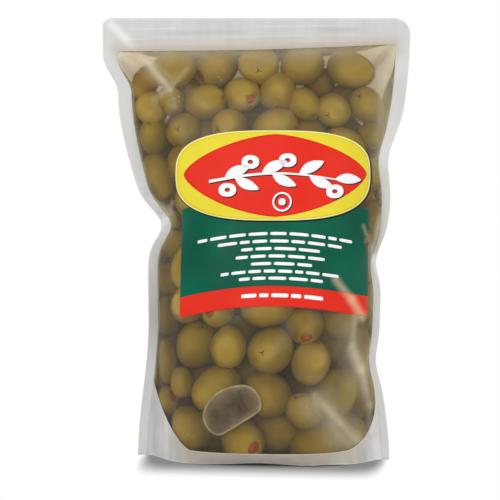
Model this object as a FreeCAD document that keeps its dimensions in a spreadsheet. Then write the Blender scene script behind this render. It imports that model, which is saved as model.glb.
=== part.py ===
"""Bag of stuffed olives: a filled stand-up pouch, in millimetres.

The pouch is two clear film walls, heat-sealed to each other down both sides and across the
header, and to a folded gusset at the foot.  Filled with olives and brine it is one shut thing,
so it is one solid: an inflated body with thin sealed margins, a flat header, and a hollow
under the gusset at each foot corner.

Frame: +Z up, X across the pouch (positive to the viewer's right), the printed face towards -Y.
The origin is in the middle of the footprint, on the surface that the pouch stands on.
"""
import FreeCAD, Part
import math
import os
from FreeCAD import Vector

NODE = "pouch"
ARC_POINTS = 17           # points on each bulging arc of a section
BODY_SECTIONS = 23        # levels between the foot and the header seal
HEADER_SECTIONS = 5
HOLLOW_STEPS = 4          # sections up each slope of the hollow under the gusset
HOLLOW_SIDES = 5          # spans up each side of such a section
UNDER = -2.0              # how far the hollow is cut past the floor
LIP = 1.0                 # height of the hollow at its toe and tip

# name, value in millimetres (or degrees, or a plain power), what it is
SIZES = [
    ("total_height", 218.0, "standing height"),
    ("half_width", 75.5, "half of the flat header's width"),
    ("film_fold", 0.8, "thickness of two sealed films"),
    ("header_foot", 200.0, "height of the seal that closes the body"),
    ("belly", 31.0, "greatest depth from the middle plane to a wall"),
    ("belly_tuck", 3.0, "how far the walls tuck in again at the foot"),
    ("tuck_rise", 12.0, "height over which that tuck fades"),
    ("fill_power", 2.6, "how late the depth starts to taper on the way up"),
    ("fill_bluntness", 0.55, "how bluntly the body ends under the header"),
    ("section_power", 3.0, "squareness of a section across the body"),
    ("section_bluntness", 0.78, "roundness of a section beside the seals"),
    ("foot_power", 3.6, "squareness of a section at the foot"),
    ("foot_pinch", 1.7, "the same roundness at the foot, where the corners close flat"),
    ("pinch_rise", 60.0, "height over which the foot's pinch fades"),
    ("twist", 6.0, "turn of the foot against the header, in degrees"),
    ("twist_top", 150.0, "height where that turn starts"),
    ("shoulder_step", 7.3, "step in of the left edge under the header"),
    ("shoulder_high", 199.5, "top of that step"),
    ("shoulder_low", 181.5, "foot of that step"),
    ("left_draw", 14.3, "draw-in of the left edge by the filling"),
    ("left_draw_high", 182.0, "where the left draw-in starts"),
    ("left_draw_low", 102.0, "where the left draw-in ends"),
    ("left_waist", 8.0, "depth of the left edge's buckle"),
    ("left_waist_height", 117.0, "its height"),
    ("left_waist_spread", 10.2, "its half length"),
    ("left_ear", 5.8, "flare of the left foot corner"),
    ("left_ear_rise", 70.0, "where that flare starts"),
    ("right_draw", 14.2, "draw-in of the right edge by the filling"),
    ("right_draw_high", 215.0, "where the right draw-in starts"),
    ("right_draw_low", 66.0, "where the right draw-in ends"),
    ("right_kink", 4.4, "depth of the right edge's upper buckle"),
    ("right_kink_height", 150.0, "its height"),
    ("right_kink_spread", 15.0, "its half length"),
    ("right_waist", 3.8, "depth of the right edge's middle buckle"),
    ("right_waist_height", 99.5, "its height"),
    ("right_waist_spread", 10.4, "its half length"),
    ("right_dent", 2.0, "depth of the right edge's low buckle"),
    ("right_dent_height", 49.0, "its height"),
    ("right_dent_spread", 10.4, "its half length"),
    ("right_ear", 5.0, "flare of the right foot corner"),
    ("right_ear_rise", 56.0, "where that flare starts"),
    ("seal_margin", 6.5, "width of a side seal near the header"),
    ("foot_margin", 4.5, "its width below the waist, where it is partly folded away"),
    ("margin_high", 182.0, "where the seals start to narrow"),
    ("margin_low", 102.0, "where they stop"),
    ("left_corner_radius", 4.0, "header corner, left"),
    ("right_corner_radius", 8.0, "header corner, right"),
    ("rib_height", 1.2, "height of a pressed rib across the header"),
    ("rib_proud", 0.35, "how far a rib stands out"),
    ("rib_inset", 9.0, "distance from a rib's end to the header's edge"),
    ("rib_low", 205.5, "height of the lower rib"),
    ("rib_pitch", 3.6, "distance between the two ribs"),
    ("wall", 1.5, "wall left around the hollow under the gusset"),
    ("gusset_rise", 38.0, "height of the gusset's fold near the side seams"),
    ("left_gusset_toe", 34.0, "where the gusset leaves the floor, left of the middle"),
    ("left_gusset_heel", 48.0, "where it reaches its full height on the left"),
    ("left_gusset_tip", 52.0, "where the hollow under it ends on the left"),
    ("right_gusset_toe", 42.0, "where the gusset leaves the floor, right of the middle"),
    ("right_gusset_heel", 54.0, "where it reaches its full height on the right"),
    ("right_gusset_tip", 57.0, "where the hollow under it ends on the right"),
]


def make_sheet(doc):
    """Return the spreadsheet that holds every driving size under its alias."""
    sheet = doc.addObject("Spreadsheet::Sheet", "Sizes")
    for row, (name, value, note) in enumerate(SIZES, start=1):
        sheet.set(f"A{row}", name)
        sheet.set(f"B{row}", str(value))
        sheet.set(f"C{row}", note)
        sheet.setAlias(f"B{row}", name)
    doc.recompute()
    return sheet


doc = FreeCAD.newDocument("stuffed_olive_bag")
size = make_sheet(doc)


def ramp(height, start, end):
    """Go smoothly from 0 at the height start to 1 at the height end."""
    share = min(max((start - height) / (start - end), 0.0), 1.0)
    return share * share * (3.0 - 2.0 * share)


def buckle(height, middle, spread):
    """Return a bell curve of height 1 at the height middle."""
    return math.exp(-((height - middle) / spread) ** 2)


def left_edge(height):
    """Return x of the pouch's left outer edge at a height."""
    reach = size.half_width
    reach -= size.shoulder_step * ramp(height, size.shoulder_high, size.shoulder_low)
    reach -= size.left_draw * ramp(height, size.left_draw_high, size.left_draw_low)
    reach -= size.left_waist * buckle(height, size.left_waist_height, size.left_waist_spread)
    reach += size.left_ear * ramp(height, size.left_ear_rise, 0.0)
    return -reach


def right_edge(height):
    """Return x of the pouch's right outer edge at a height."""
    reach = size.half_width
    reach -= size.right_draw * ramp(height, size.right_draw_high, size.right_draw_low)
    reach -= size.right_kink * buckle(height, size.right_kink_height, size.right_kink_spread)
    reach -= size.right_waist * buckle(height, size.right_waist_height, size.right_waist_spread)
    reach -= size.right_dent * buckle(height, size.right_dent_height, size.right_dent_spread)
    reach += size.right_ear * ramp(height, size.right_ear_rise, 0.0)
    return reach


def margin(height):
    """Return the width of the side seals at a height."""
    loss = size.seal_margin - size.foot_margin
    return size.seal_margin - loss * ramp(height, size.margin_high, size.margin_low)


def seal_line(side, height):
    """Return x of the inner edge of the left (side -1) or right (side 1) seal at a height."""
    if side < 0:
        return left_edge(height) + margin(height)
    return right_edge(height) - margin(height)


def depth(height):
    """Return the distance from the middle plane to a wall, in the middle of the pouch."""
    share = max(1.0 - (max(height, 0.0) / size.header_foot) ** size.fill_power, 0.0)
    tuck = size.belly_tuck * math.exp(-max(height, 0.0) / size.tuck_rise)
    return size.belly * share ** size.fill_bluntness - tuck * share


def bulge(across, height):
    """Return the share of the depth at across, which runs from -1 to 1 between the seals."""
    pinch = 1.0 - ramp(height, 0.0, size.pinch_rise)
    squareness = size.section_power + (size.foot_power - size.section_power) * pinch
    roundness = size.section_bluntness + (size.foot_pinch - size.section_bluntness) * pinch
    return (1.0 - abs(across) ** squareness) ** roundness


def turned(x, y, height):
    """Return the point of a section, turned about Z by the pouch's twist at that height."""
    angle = -math.radians(size.twist) * ramp(height, size.twist_top, size.gusset_rise)
    cos, sin = math.cos(angle), math.sin(angle)
    return Vector(x * cos - y * sin, x * sin + y * cos, height)


def arc_edge(left, right, offset, reach, side, height):
    """Return one wall of a section: a spline from left to right, bulging to side (-1 or 1).

    Its ends lie at the distance offset from the middle plane, and its middle at offset + reach.
    """
    shares = [-math.cos(math.pi * i / (ARC_POINTS - 1)) for i in range(ARC_POINTS)]
    middle, half = (left + right) / 2, (right - left) / 2
    points = []
    for share in shares:
        y = offset + reach * bulge(min(max(share, -1.0), 1.0), height)
        points.append(turned(middle + half * share, side * y, height))
    curve = Part.BSplineCurve()
    curve.interpolate(Points=points, Parameters=[i / (ARC_POINTS - 1) for i in range(ARC_POINTS)])
    return curve.toShape()


def body_section(height):
    """Return the closed wire of the pouch at a height, with its two flat side seals."""
    out_left, out_right = left_edge(height), right_edge(height)
    in_left, in_right = seal_line(-1, height), seal_line(1, height)
    thin = size.film_fold / 2
    front = arc_edge(in_left, in_right, thin, depth(height), -1, height)
    back = arc_edge(in_left, in_right, thin, depth(height), 1, height)

    def seal(*corners):
        points = [turned(x, y, height) for x, y in corners]
        return [Part.makeLine(*pair) for pair in zip(points, points[1:])]

    right = seal((in_right, -thin), (out_right, -thin), (out_right, thin), (in_right, thin))
    left = seal((in_left, thin), (out_left, thin), (out_left, -thin), (in_left, -thin))
    return Part.Wire([front] + right + [back] + left)


def header_section(height):
    """Return the closed wire of the flat header at a height."""
    thin = size.film_fold / 2
    left, right = left_edge(height), right_edge(height)
    loop = [turned(x, y, height) for x, y in (
        (left, -thin), (right, -thin), (right, thin), (left, thin), (left, -thin))]
    return Part.makePolygon(loop)


def half_gap(x, height):
    """Return half the distance between the walls' inner faces at x and a height."""
    left, right = seal_line(-1, height), seal_line(1, height)
    across = (2 * x - left - right) / (right - left)
    outside = size.film_fold / 2 + depth(height) * bulge(min(max(across, -1.0), 1.0), height)
    return max(outside - size.wall, size.film_fold / 4)


def hollow_section(x, roof):
    """Return the closed wire, in a plane across X, of the hollow under the gusset."""
    heights = [UNDER] + [roof * i / HOLLOW_SIDES for i in range(HOLLOW_SIDES + 1)]
    gaps = [half_gap(x, max(height, 0.0)) for height in heights]
    front = [turned(x, -gap, height) for gap, height in zip(gaps, heights)]
    back = [turned(x, gap, height) for gap, height in zip(gaps, heights)]
    return Part.makePolygon(front + back[::-1] + front[:1])


def hollow_sections(side, toe, heel, tip):
    """Return the hollow's wires from its toe, over its peak at the heel, to the foot corner."""
    rise = size.gusset_rise - LIP
    climb = [i / HOLLOW_STEPS for i in range(HOLLOW_STEPS + 1)]
    wires = [hollow_section(side * (toe + (heel - toe) * t), LIP + rise * t) for t in climb]
    wires += [hollow_section(side * (heel + (tip - heel) * t), LIP + rise * (1 - t))
              for t in climb[1:]]
    return wires


def add_loft(name, wires, ruled=False):
    """Return a solid loft through the wires, each of them a feature of the document."""
    sections = []
    for number, wire in enumerate(wires):
        section = doc.addObject("Part::Feature", f"{name}_section_{number:02d}")
        section.Shape = wire
        sections.append(section)
    loft = doc.addObject("Part::Loft", name)
    loft.Sections = sections
    loft.Solid = True
    loft.Ruled = ruled
    return loft


def add_rib(number, side):
    """Return a pressed rib across the header, on the front (side -1) or the back (side 1)."""
    rib = doc.addObject("Part::Box", f"rib_{number}_{'front' if side < 0 else 'back'}")
    rib.setExpression("Length", "2 * (Sizes.half_width - Sizes.rib_inset)")
    rib.setExpression("Width", "Sizes.film_fold / 2 + Sizes.rib_proud")
    rib.setExpression("Height", "Sizes.rib_height")
    rib.setExpression("Placement.Base.x", "Sizes.rib_inset - Sizes.half_width")
    rib.setExpression("Placement.Base.z", f"Sizes.rib_low + {number} * Sizes.rib_pitch")
    if side < 0:
        rib.setExpression("Placement.Base.y", "-(Sizes.film_fold / 2 + Sizes.rib_proud)")
    return rib


def fuse(name, shapes):
    """Return the union of the shapes."""
    union = doc.addObject("Part::MultiFuse", name)
    union.Shapes = shapes
    return union


def round_header(header):
    """Return the header with its two upper corners rounded."""
    rounded = doc.addObject("Part::Fillet", "rounded_header")
    rounded.Base = header
    doc.recompute()
    radii = {-1: size.left_corner_radius, 1: size.right_corner_radius}
    edges = []
    for number, edge in enumerate(header.Shape.Edges, start=1):
        box = edge.BoundBox
        if box.ZMin > size.total_height - 0.01 and box.XLength < 0.1:
            radius = radii[1 if box.XMin > 0 else -1]
            edges.append((number, radius, radius))
    rounded.Edges = edges
    return rounded


def body_levels():
    """Return the heights of the body's sections, closer together under the header seal."""
    steps = [math.sin(math.pi / 2 * i / (BODY_SECTIONS - 1)) for i in range(BODY_SECTIONS)]
    return [size.header_foot * step for step in steps]


def even_levels(low, high, count):
    """Return count heights, evenly spaced from low to high."""
    return [low + (high - low) * i / (count - 1) for i in range(count)]


body = add_loft("filled_body", [body_section(level) for level in body_levels()])

header_levels = even_levels(size.header_foot, size.total_height, HEADER_SECTIONS)
header = add_loft("header", [header_section(level) for level in header_levels])
header_rounded = round_header(header)
ribs = [add_rib(number, side) for number in range(2) for side in (-1, 1)]
filled = fuse("filled_pouch", [body, header_rounded] + ribs)

hollow_left = add_loft("hollow_left", hollow_sections(
    -1, size.left_gusset_toe, size.left_gusset_heel, size.left_gusset_tip), ruled=True)
hollow_right = add_loft("hollow_right", hollow_sections(
    1, size.right_gusset_toe, size.right_gusset_heel, size.right_gusset_tip), ruled=True)
hollow = fuse("gusset_hollow", [hollow_left, hollow_right])

pouch = doc.addObject("Part::Cut", NODE)
pouch.Base = filled
pouch.Tool = hollow
pouch.Label = NODE
doc.recompute()

for item in doc.Objects:
    if "Invalid" in item.State or "Error" in item.State:
        raise RuntimeError(f"{item.Name} did not build: {item.State}")
if pouch.Shape.isNull() or not pouch.Shape.isValid() or len(pouch.Shape.Solids) != 1:
    raise RuntimeError("the pouch is not one valid solid")

os.makedirs("parts", exist_ok=True)
pouch.Shape.exportStep(f"parts/{NODE}.step")
print(f"{NODE}: {pouch.Shape.Volume / 1000:.0f} cm3, box {pouch.Shape.BoundBox}")
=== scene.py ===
# %% [markdown]
# # A clear stand-up bag of stuffed olives
# Whole green olives, each stuffed with a strip of red pimento, are packed in brine in a clear
# laminated bag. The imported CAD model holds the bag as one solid. Here it is opened up into what
# the eye sees: a film bag with frosted seals, the brine, the olives and the print on the front.
# Shapes are worked out in millimetres, in the frame of the CAD: +Z is up and the front looks
# along -Y.

# %% Load the frame and keep the CAD model's box
import math

import bmesh
import bpy
import numpy as np
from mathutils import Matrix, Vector


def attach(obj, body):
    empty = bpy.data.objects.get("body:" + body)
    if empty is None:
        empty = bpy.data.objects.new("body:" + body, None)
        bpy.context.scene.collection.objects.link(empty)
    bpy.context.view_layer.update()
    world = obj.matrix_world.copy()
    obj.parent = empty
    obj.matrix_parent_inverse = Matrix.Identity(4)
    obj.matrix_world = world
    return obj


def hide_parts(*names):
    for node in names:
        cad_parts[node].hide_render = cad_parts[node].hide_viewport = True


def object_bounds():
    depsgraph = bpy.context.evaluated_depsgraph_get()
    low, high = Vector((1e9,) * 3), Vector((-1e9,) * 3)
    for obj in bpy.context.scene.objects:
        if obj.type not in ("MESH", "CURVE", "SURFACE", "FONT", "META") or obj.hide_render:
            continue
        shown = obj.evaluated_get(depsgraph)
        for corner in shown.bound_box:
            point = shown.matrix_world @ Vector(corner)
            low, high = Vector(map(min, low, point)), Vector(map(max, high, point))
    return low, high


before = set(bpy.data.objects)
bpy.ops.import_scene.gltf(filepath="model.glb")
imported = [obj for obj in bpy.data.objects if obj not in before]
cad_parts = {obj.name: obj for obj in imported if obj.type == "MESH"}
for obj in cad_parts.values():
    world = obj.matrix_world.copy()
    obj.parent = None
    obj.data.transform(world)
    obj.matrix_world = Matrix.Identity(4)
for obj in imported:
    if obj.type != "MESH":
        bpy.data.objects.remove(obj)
CAD_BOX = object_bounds()
MM = 0.001
TALL = CAD_BOX[1].z / MM
print("CAD box, mm:", [round(side / MM, 1) for side in CAD_BOX[1] - CAD_BOX[0]])

# %% [markdown]
# ## The outline of the bag
# A flat bag is two sheets of film welded round the edge. When it is filled, its sides are drawn
# in and buckle, so the outline isn't straight. It could be traced as a curve, but the walls, the
# seals and the skirt would each need it again. So a few formulas, the same as in the CAD, give
# the two edges, and the weld's inner line follows each edge at a small distance.

# %% The two edges and the inner line of the side seals
HALF_WIDTH = 75.5
SEAL_WIDE = 6.5
SEAL_NARROW = 4.5


def ramp(value, start, end):
    """0 above start and 1 below end, joined by the smooth S of 3t^2 - 2t^3."""
    t = np.clip((start - value) / (start - end), 0.0, 1.0)
    return t * t * (3.0 - 2.0 * t)


def bell(value, middle, spread):
    """1 at the middle and 1/e at a spread away: e to the minus ((value - middle) / spread)^2."""
    return np.exp(-(((value - middle) / spread) ** 2))


def left_edge(height):
    """Half the flat width, less a step, a long draw and a buckled waist, plus a flared ear."""
    drawn = 7.3 * ramp(height, 199.5, 181.5) + 14.3 * ramp(height, 182.0, 102.0)
    waist = 8.0 * bell(height, 117.0, 10.2)
    return -(HALF_WIDTH - drawn - waist + 5.8 * ramp(height, 70.0, 0.0))


def right_edge(height):
    """Half the flat width, less a long draw, a kink, a waist and a dent, plus a flared ear."""
    drawn = 14.2 * ramp(height, 215.0, 66.0) + 4.4 * bell(height, 150.0, 15.0)
    waist = 3.8 * bell(height, 99.5, 10.4) + 2.0 * bell(height, 49.0, 10.4)
    return HALF_WIDTH - drawn - waist + 5.0 * ramp(height, 56.0, 0.0)


def seal_width(height):
    """Wide at the top, narrowing further down."""
    return SEAL_WIDE - (SEAL_WIDE - SEAL_NARROW) * ramp(height, 182.0, 102.0)


def left_seam(height):
    """The edge moved in by the width of the seal."""
    return left_edge(height) + seal_width(height)


def right_seam(height):
    """The edge moved in by the seal, which is slimmer here below 165 mm and most at the waist."""
    slimmer = 1.0 * ramp(height, 172.0, 158.0) + 1.3 * bell(height, 104.0, 9.0)
    return right_edge(height) - seal_width(height) + slimmer


def across(x, height):
    """-1 on the left seam, 0 midway and 1 on the right seam."""
    left = left_seam(height)
    right = right_seam(height)
    return (2.0 * x - left - right) / (right - left)


def between_seams(s, height, inset=0.0):
    """The x at a share s across, as above, with both seams moved in by the inset."""
    left = left_seam(height) + inset
    right = right_seam(height) - inset
    return (left + right) / 2.0 + s * (right - left) / 2.0


heights = np.linspace(0.0, TALL, 400)
widths = right_edge(heights) - left_edge(heights)
print(f"width, mm: widest {widths.max():.1f}, waist {widths.min():.1f}")

# %% [markdown]
# ## The swell of the film
# Seen from the side, a filled bag is a long drop: deepest near the foot, and closing quickly at
# the top seal. Seen from above, each wall is a flattened arch between the seams, which turns into
# a pointed boat shape at the foot. The foot is also turned a few degrees, as the bag stands a
# little askew. A cloth simulation could blow up two flat sheets, but it would not keep to the CAD
# model, so the swell is a formula too.

# %% Depth, arch and turn
TOP_LEFT = 202.0
TOP_RIGHT = 205.5
DEEPEST = 31.0
FLOOR_TUCK = 3.0
FOOT_TURN = math.radians(6.0)


def top_line(s):
    """The fill line under the header: nearly level, then climbing towards the right."""
    return TOP_LEFT + (TOP_RIGHT - TOP_LEFT) * ((s + 1.0) / 2.0) ** 2.2


def swell(x, height):
    """Distance of a wall from the middle plane: the drop's depth times the arch across.

    The depth is the deepest times (1 - (height / top)^2.6)^0.55, tucked in at the floor. The
    arch is (1 - |s|^p)^q, where p and q slide from blunt values to a pointed foot below 60 mm.
    """
    s = np.clip(across(x, height), -1.0, 1.0)
    share = np.clip(1.0 - (height / top_line(s)) ** 2.6, 0.0, 1.0)
    depth = DEEPEST * share**0.55 - FLOOR_TUCK * np.exp(-height / 12.0) * share
    pinch = 1.0 - ramp(height, 0.0, 60.0)
    return depth * (1.0 - np.abs(s) ** (3.0 + 0.6 * pinch)) ** (0.78 + 0.92 * pinch)


def xyz(x, y, z):
    """Points from their three coordinates, each a number or an array."""
    return np.stack(np.broadcast_arrays(x, y, z), axis=-1)


def turned(x, y, height):
    """Turns a point about the upright axis: not at all above 150 mm, and fully below 38."""
    angle = -FOOT_TURN * ramp(height, 150.0, 38.0)
    cosine = np.cos(angle)
    sine = np.sin(angle)
    return xyz(x * cosine - y * sine, x * sine + y * cosine, height)


print(f"deepest half, mm: {swell(0.0, heights[heights < 200.0]).max():.1f}")

# %% [markdown]
# ## Folds
# Stiff film doesn't stretch, so where the outline is drawn in, the wall creases in straight
# lines. A crease is whiter than the film beside it, partly because the laminate clouds where it
# bends and partly as a painted highlight, for the light that a crease catches. Creases could be
# sculpted, but a list of lines can be read and changed. Each is a straight line with a depth, a
# half width and a whiteness, and fades away from the line as a bell. One with no depth is only a
# pale streak, a painted highlight. The film, the seals and the print all share the list.

# %% The folds of the front wall, as x and z of both ends, depth, half width and whiteness (clouding and painted highlight)
FRONT_FOLDS = [
    (-71.0, 215.0, -43.0, 184.5, 0.9, 2.5, 0.52),
    (-42.0, 183.0, -34.0, 193.0, 0.5, 1.0, 0.22),
    (-42.0, 183.0, -39.0, 174.0, 0.5, 0.9, 0.20),
    (-42.0, 183.0, -50.0, 178.0, 0.6, 1.6, 0.22),
    (-52.0, 129.5, -43.5, 122.5, 2.2, 2.0, 0.60),
    (-43.5, 122.5, -50.5, 113.0, 2.0, 2.2, 0.50),
    (-43.5, 122.5, -41.0, 128.5, 0.7, 0.9, 0.30),
    (61.5, 120.5, 57.5, 104.5, 1.8, 1.6, 0.60),
    (57.5, 104.5, 60.5, 94.0, 1.6, 1.6, 0.50),
    (57.5, 104.5, 52.5, 117.0, 0.9, 1.0, 0.35),
    (39.5, 91.5, 47.5, 81.5, 0.6, 1.9, 0.50),
    (47.5, 81.5, 53.0, 72.0, 0.6, 1.9, 0.60),
    (31.0, 36.0, 52.0, 11.0, 0.8, 1.9, 0.36),
    (49.0, 73.0, 48.5, 58.0, 0.9, 1.5, 0.30),
    (48.5, 58.0, 52.5, 46.0, 0.9, 2.1, 0.46),
    (52.5, 46.0, 56.5, 28.0, 0.9, 2.0, 0.42),
    (56.5, 28.0, 57.0, 14.0, 0.7, 1.5, 0.30),
    # these three have no depth: pale streaks that are painted highlight only
    (63.0, 190.0, 61.0, 150.0, 0.0, 4.5, 0.30),
    (46.0, 66.0, 52.0, 40.0, 0.0, 7.0, 0.22),
    (34.0, 30.0, 48.0, 12.0, 0.0, 8.0, 0.38),
]
BACK_FOLDS = [
    (70.0, 209.0, 44.0, 178.0, 0.9, 2.2, 0.45),
    (-66.0, 196.0, -38.0, 160.0, 0.8, 2.0, 0.35),
    (61.5, 120.0, 50.0, 110.0, 1.8, 2.0, 0.50),
    (-52.0, 128.0, -40.0, 116.0, 2.0, 2.0, 0.50),
    (-40.0, 116.0, -18.0, 108.0, 0.7, 1.6, 0.25),
    (50.0, 52.0, 34.0, 20.0, 0.8, 1.9, 0.35),
    (-46.0, 60.0, -30.0, 18.0, 0.8, 1.9, 0.35),
]
print(len(FRONT_FOLDS), "folds in front,", len(BACK_FOLDS), "behind")

# %% The walls with their folds
# the film's own cloudiness, where there is no fold
CLOUD = 0.04


def from_line(x, height, x1, z1, x2, z2):
    """The nearest point of a straight line: its share of the way along, and the offset from it."""
    run = (x2 - x1) ** 2 + (z2 - z1) ** 2
    t = np.clip(((x - x1) * (x2 - x1) + (height - z1) * (z2 - z1)) / run, 0.0, 1.0)
    return t, x - x1 - t * (x2 - x1), height - z1 - t * (z2 - z1)


def folded(x, height, folds, wider=0.0):
    """Depth and whiteness at each point: bells round the lines, the depths added together.

    wider makes every bell broader, for what lies under the film and can't follow a sharp crease.
    """
    depth = np.zeros_like(x)
    clear = np.full_like(x, 1.0 - CLOUD)
    # whiteness: the film's clouding at a crease and a painted highlight along it
    for *ends, deep, half, white in folds:
        _, aside, above = from_line(x, height, *ends)
        near = bell(np.hypot(aside, above), 0.0, half + wider)
        depth += deep * near
        clear *= 1.0 - white * near
    return depth, 1.0 - clear


def rippled(x, height, side):
    """Slack in the film, under half a millimetre: three slow waves that cross each other."""
    wave = np.sin(x / 9.0 + height / 17.0 + side) + np.sin(height / 8.0 - x / 21.0 - side)
    return 0.16 * (wave + np.sin(x / 5.3 - height / 6.1 + 2.0 * side))


def stand_off(x, height, side, wider=0.0):
    """How far a wall stands from the middle plane, and its whiteness: the swell, less the folds.

    The folds and ripples fade where the walls are within 4 mm of the middle plane.
    """
    depth, white = folded(x, height, FRONT_FOLDS if side < 0 else BACK_FOLDS, wider)
    flat = swell(x, height)
    near_seam = np.clip(flat / 4.0, 0.0, 1.0)
    return np.maximum(flat - near_seam * (depth + rippled(x, height, side)), 0.0), white


def wall(x, height, side, lift=0.0):
    """Points of one wall, front (side -1) or back (side 1), moved outwards by lift."""
    stand, white = stand_off(x, height, side)
    return turned(x, side * (stand + lift), height), white


_, haze = wall(np.zeros(heights.size), heights, -1)
print(f"whiteness up the middle of the front: {haze.min():.2f} to {haze.max():.2f}")

# %% [markdown]
# ## From arrays to meshes
# Every surface here is a grid: rows and columns of points, worked out as whole arrays. Small
# helpers join the points into quads, and put a mesh into the scene. A thin sheet is the same grid
# twice, an outer and an inner face, closed round its rim. A Solidify modifier could thicken one
# grid, but both faces come from the same formulas anyway, so the thickness is exact. A shape is
# passed on as its points, its faces and its values: numbers kept on each point, which the
# material reads.

# %% Joining points into shapes


def grid_faces(rows, columns):
    """Quads of a grid: each point joined to its neighbour on the right, above and both."""
    index = np.arange(rows * columns).reshape(rows, columns)
    quads = [index[:-1, :-1], index[:-1, 1:], index[1:, 1:], index[1:, :-1]]
    return np.stack(quads, axis=-1).reshape(-1, 4)


def sheet(outer, inner, kind="plain", **values):
    """Two grids of points, the second turned round, and a strip that joins their rims.

    A plain grid has one rim round its four sides. A disc runs round a middle and has only its
    last row as a rim, and a ring has its first row too. Both grids get the same values.
    """
    rows, columns = outer.shape[:2]
    count = rows * columns
    index = np.arange(count).reshape(rows, columns)
    face = grid_faces(rows, columns)
    faces = [face, face[:, ::-1] + count]
    rims = {"disc": [index[-1]], "ring": [index[-1], index[0]]}
    rims["plain"] = [np.concatenate([index[0], index[1:, -1], index[-1, -2::-1], index[-2::-1, 0]])]
    for rim in rims[kind]:
        faces.append(np.stack([rim[:-1], rim[:-1] + count, rim[1:] + count, rim[1:]], axis=-1))
    points = np.concatenate([outer.reshape(-1, 3), inner.reshape(-1, 3)])
    doubled = {
        key: np.tile(np.broadcast_to(value, (rows, columns)).ravel(), 2)
        for key, value in values.items()
    }
    return points, np.concatenate(faces), doubled


def joined(shapes):
    """One shape from several: each one's faces count on from the points of those before."""
    firsts = np.cumsum([0] + [len(points) for points, _, _ in shapes])
    points = np.concatenate([points for points, _, _ in shapes])
    faces = np.concatenate([faces + first for first, (_, faces, _) in zip(firsts, shapes)])
    values = {key: np.concatenate([shape[2][key] for shape in shapes]) for key in shapes[0][2]}
    return points, faces, values


print("a grid of 3 by 4 points has", len(grid_faces(3, 4)), "quads")

# %% Placing a shape as a piece
MERGE_WITHIN = 0.004 * MM
SLIVER = 0.001 * MM


def put_mesh(name, shape, material):
    """Makes a piece from points in mm, merges doubles and turns its faces outwards."""
    points, faces, values = shape
    mesh = bpy.data.meshes.new(name)
    mesh.from_pydata((points * MM).tolist(), [], faces.tolist())
    for key, numbers in values.items():
        vector = np.ndim(numbers) == 2
        layer = mesh.attributes.new(key, "FLOAT_VECTOR" if vector else "FLOAT", "POINT")
        flat = np.ascontiguousarray(numbers, dtype=np.float32).ravel()
        layer.data.foreach_set("vector" if vector else "value", flat)
    made = bmesh.new()
    made.from_mesh(mesh)
    bmesh.ops.remove_doubles(made, verts=made.verts, dist=MERGE_WITHIN)
    bmesh.ops.dissolve_degenerate(made, edges=made.edges, dist=SLIVER)
    bmesh.ops.recalc_face_normals(made, faces=made.faces)
    if made.calc_volume(signed=True) < 0.0:
        bmesh.ops.reverse_faces(made, faces=made.faces)
    loose = sum(1 for edge in made.edges if len(edge.link_faces) != 2)
    made.to_mesh(mesh)
    made.free()
    mesh.polygons.foreach_set("use_smooth", [True] * len(mesh.polygons))
    mesh.materials.append(material)
    piece = bpy.data.objects.new(name, mesh)
    bpy.context.scene.collection.objects.link(piece)
    triangles = sum(len(face.vertices) - 2 for face in mesh.polygons)
    print(f"{name}: {triangles} triangles, {loose} open or doubled edges")
    return piece


# %% [markdown]
# ## Building materials
# A colour is written as sRGB hex, as a paint chart gives it, and turned to the linear values
# that Blender works in. One function adds a node, sets it and links it. Two more start and end a
# material, and one holds a small group of nodes that several of them need.

# %% Colour and node helpers


def colour(code):
    """sRGB hex to linear RGBA: v / 12.92 up to 0.04045, else ((v + 0.055) / 1.055)^2.4."""
    parts = np.array([int(code[i : i + 2], 16) for i in (1, 3, 5)]) / 255.0
    linear = np.where(parts <= 0.04045, parts / 12.92, ((parts + 0.055) / 1.055) ** 2.4)
    return (*linear.tolist(), 1.0)


def node(tree, kind, inputs=None, stops=(), **settings):
    """Adds one node with its settings, the stops of its colour ramp and its inputs.

    An input is a plain value, a socket, or a node, which stands for its first output.
    """
    new = tree.nodes.new("ShaderNode" + kind)
    for key, value in settings.items():
        setattr(new, key, value)
    for key, value in (inputs or {}).items():
        source = value.outputs[0] if isinstance(value, bpy.types.Node) else value
        if isinstance(source, bpy.types.NodeSocket):
            tree.links.new(source, new.inputs[key])
        else:
            new.inputs[key].default_value = source
    if stops:
        band = new.color_ramp.elements
        band.remove(band[-1])
        band[0].position = stops[0][0]
        band[0].color = colour(stops[0][1])
        for position, code in stops[1:]:
            band.new(position).color = colour(code)
    return new


def new_material(name):
    """An empty node material and its tree."""
    material = bpy.data.materials.new(name)
    material.use_nodes = True
    material.node_tree.nodes.clear()
    return material, material.node_tree


def finish_material(material, shaders):
    """Links the last shaders, named Surface and Volume, to the material's output."""
    node(material.node_tree, "OutputMaterial", shaders)
    print(f"{material.name}: {len(material.node_tree.nodes)} nodes")


def wandering(tree, value, noise, low, high, swing):
    """A value that goes up and down by the swing as a noise goes from low to high, kept 0 to 1."""
    limits = {"From Min": low, "From Max": high, "To Min": -swing, "To Max": swing}
    drift = node(tree, "MapRange", {"Value": noise, **limits})
    return node(tree, "Math", {0: value, 1: drift}, operation="ADD", use_clamp=True)


print(f"a middle grey, #808080, is {colour('#808080')[0]:.3f} in linear light")
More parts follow.
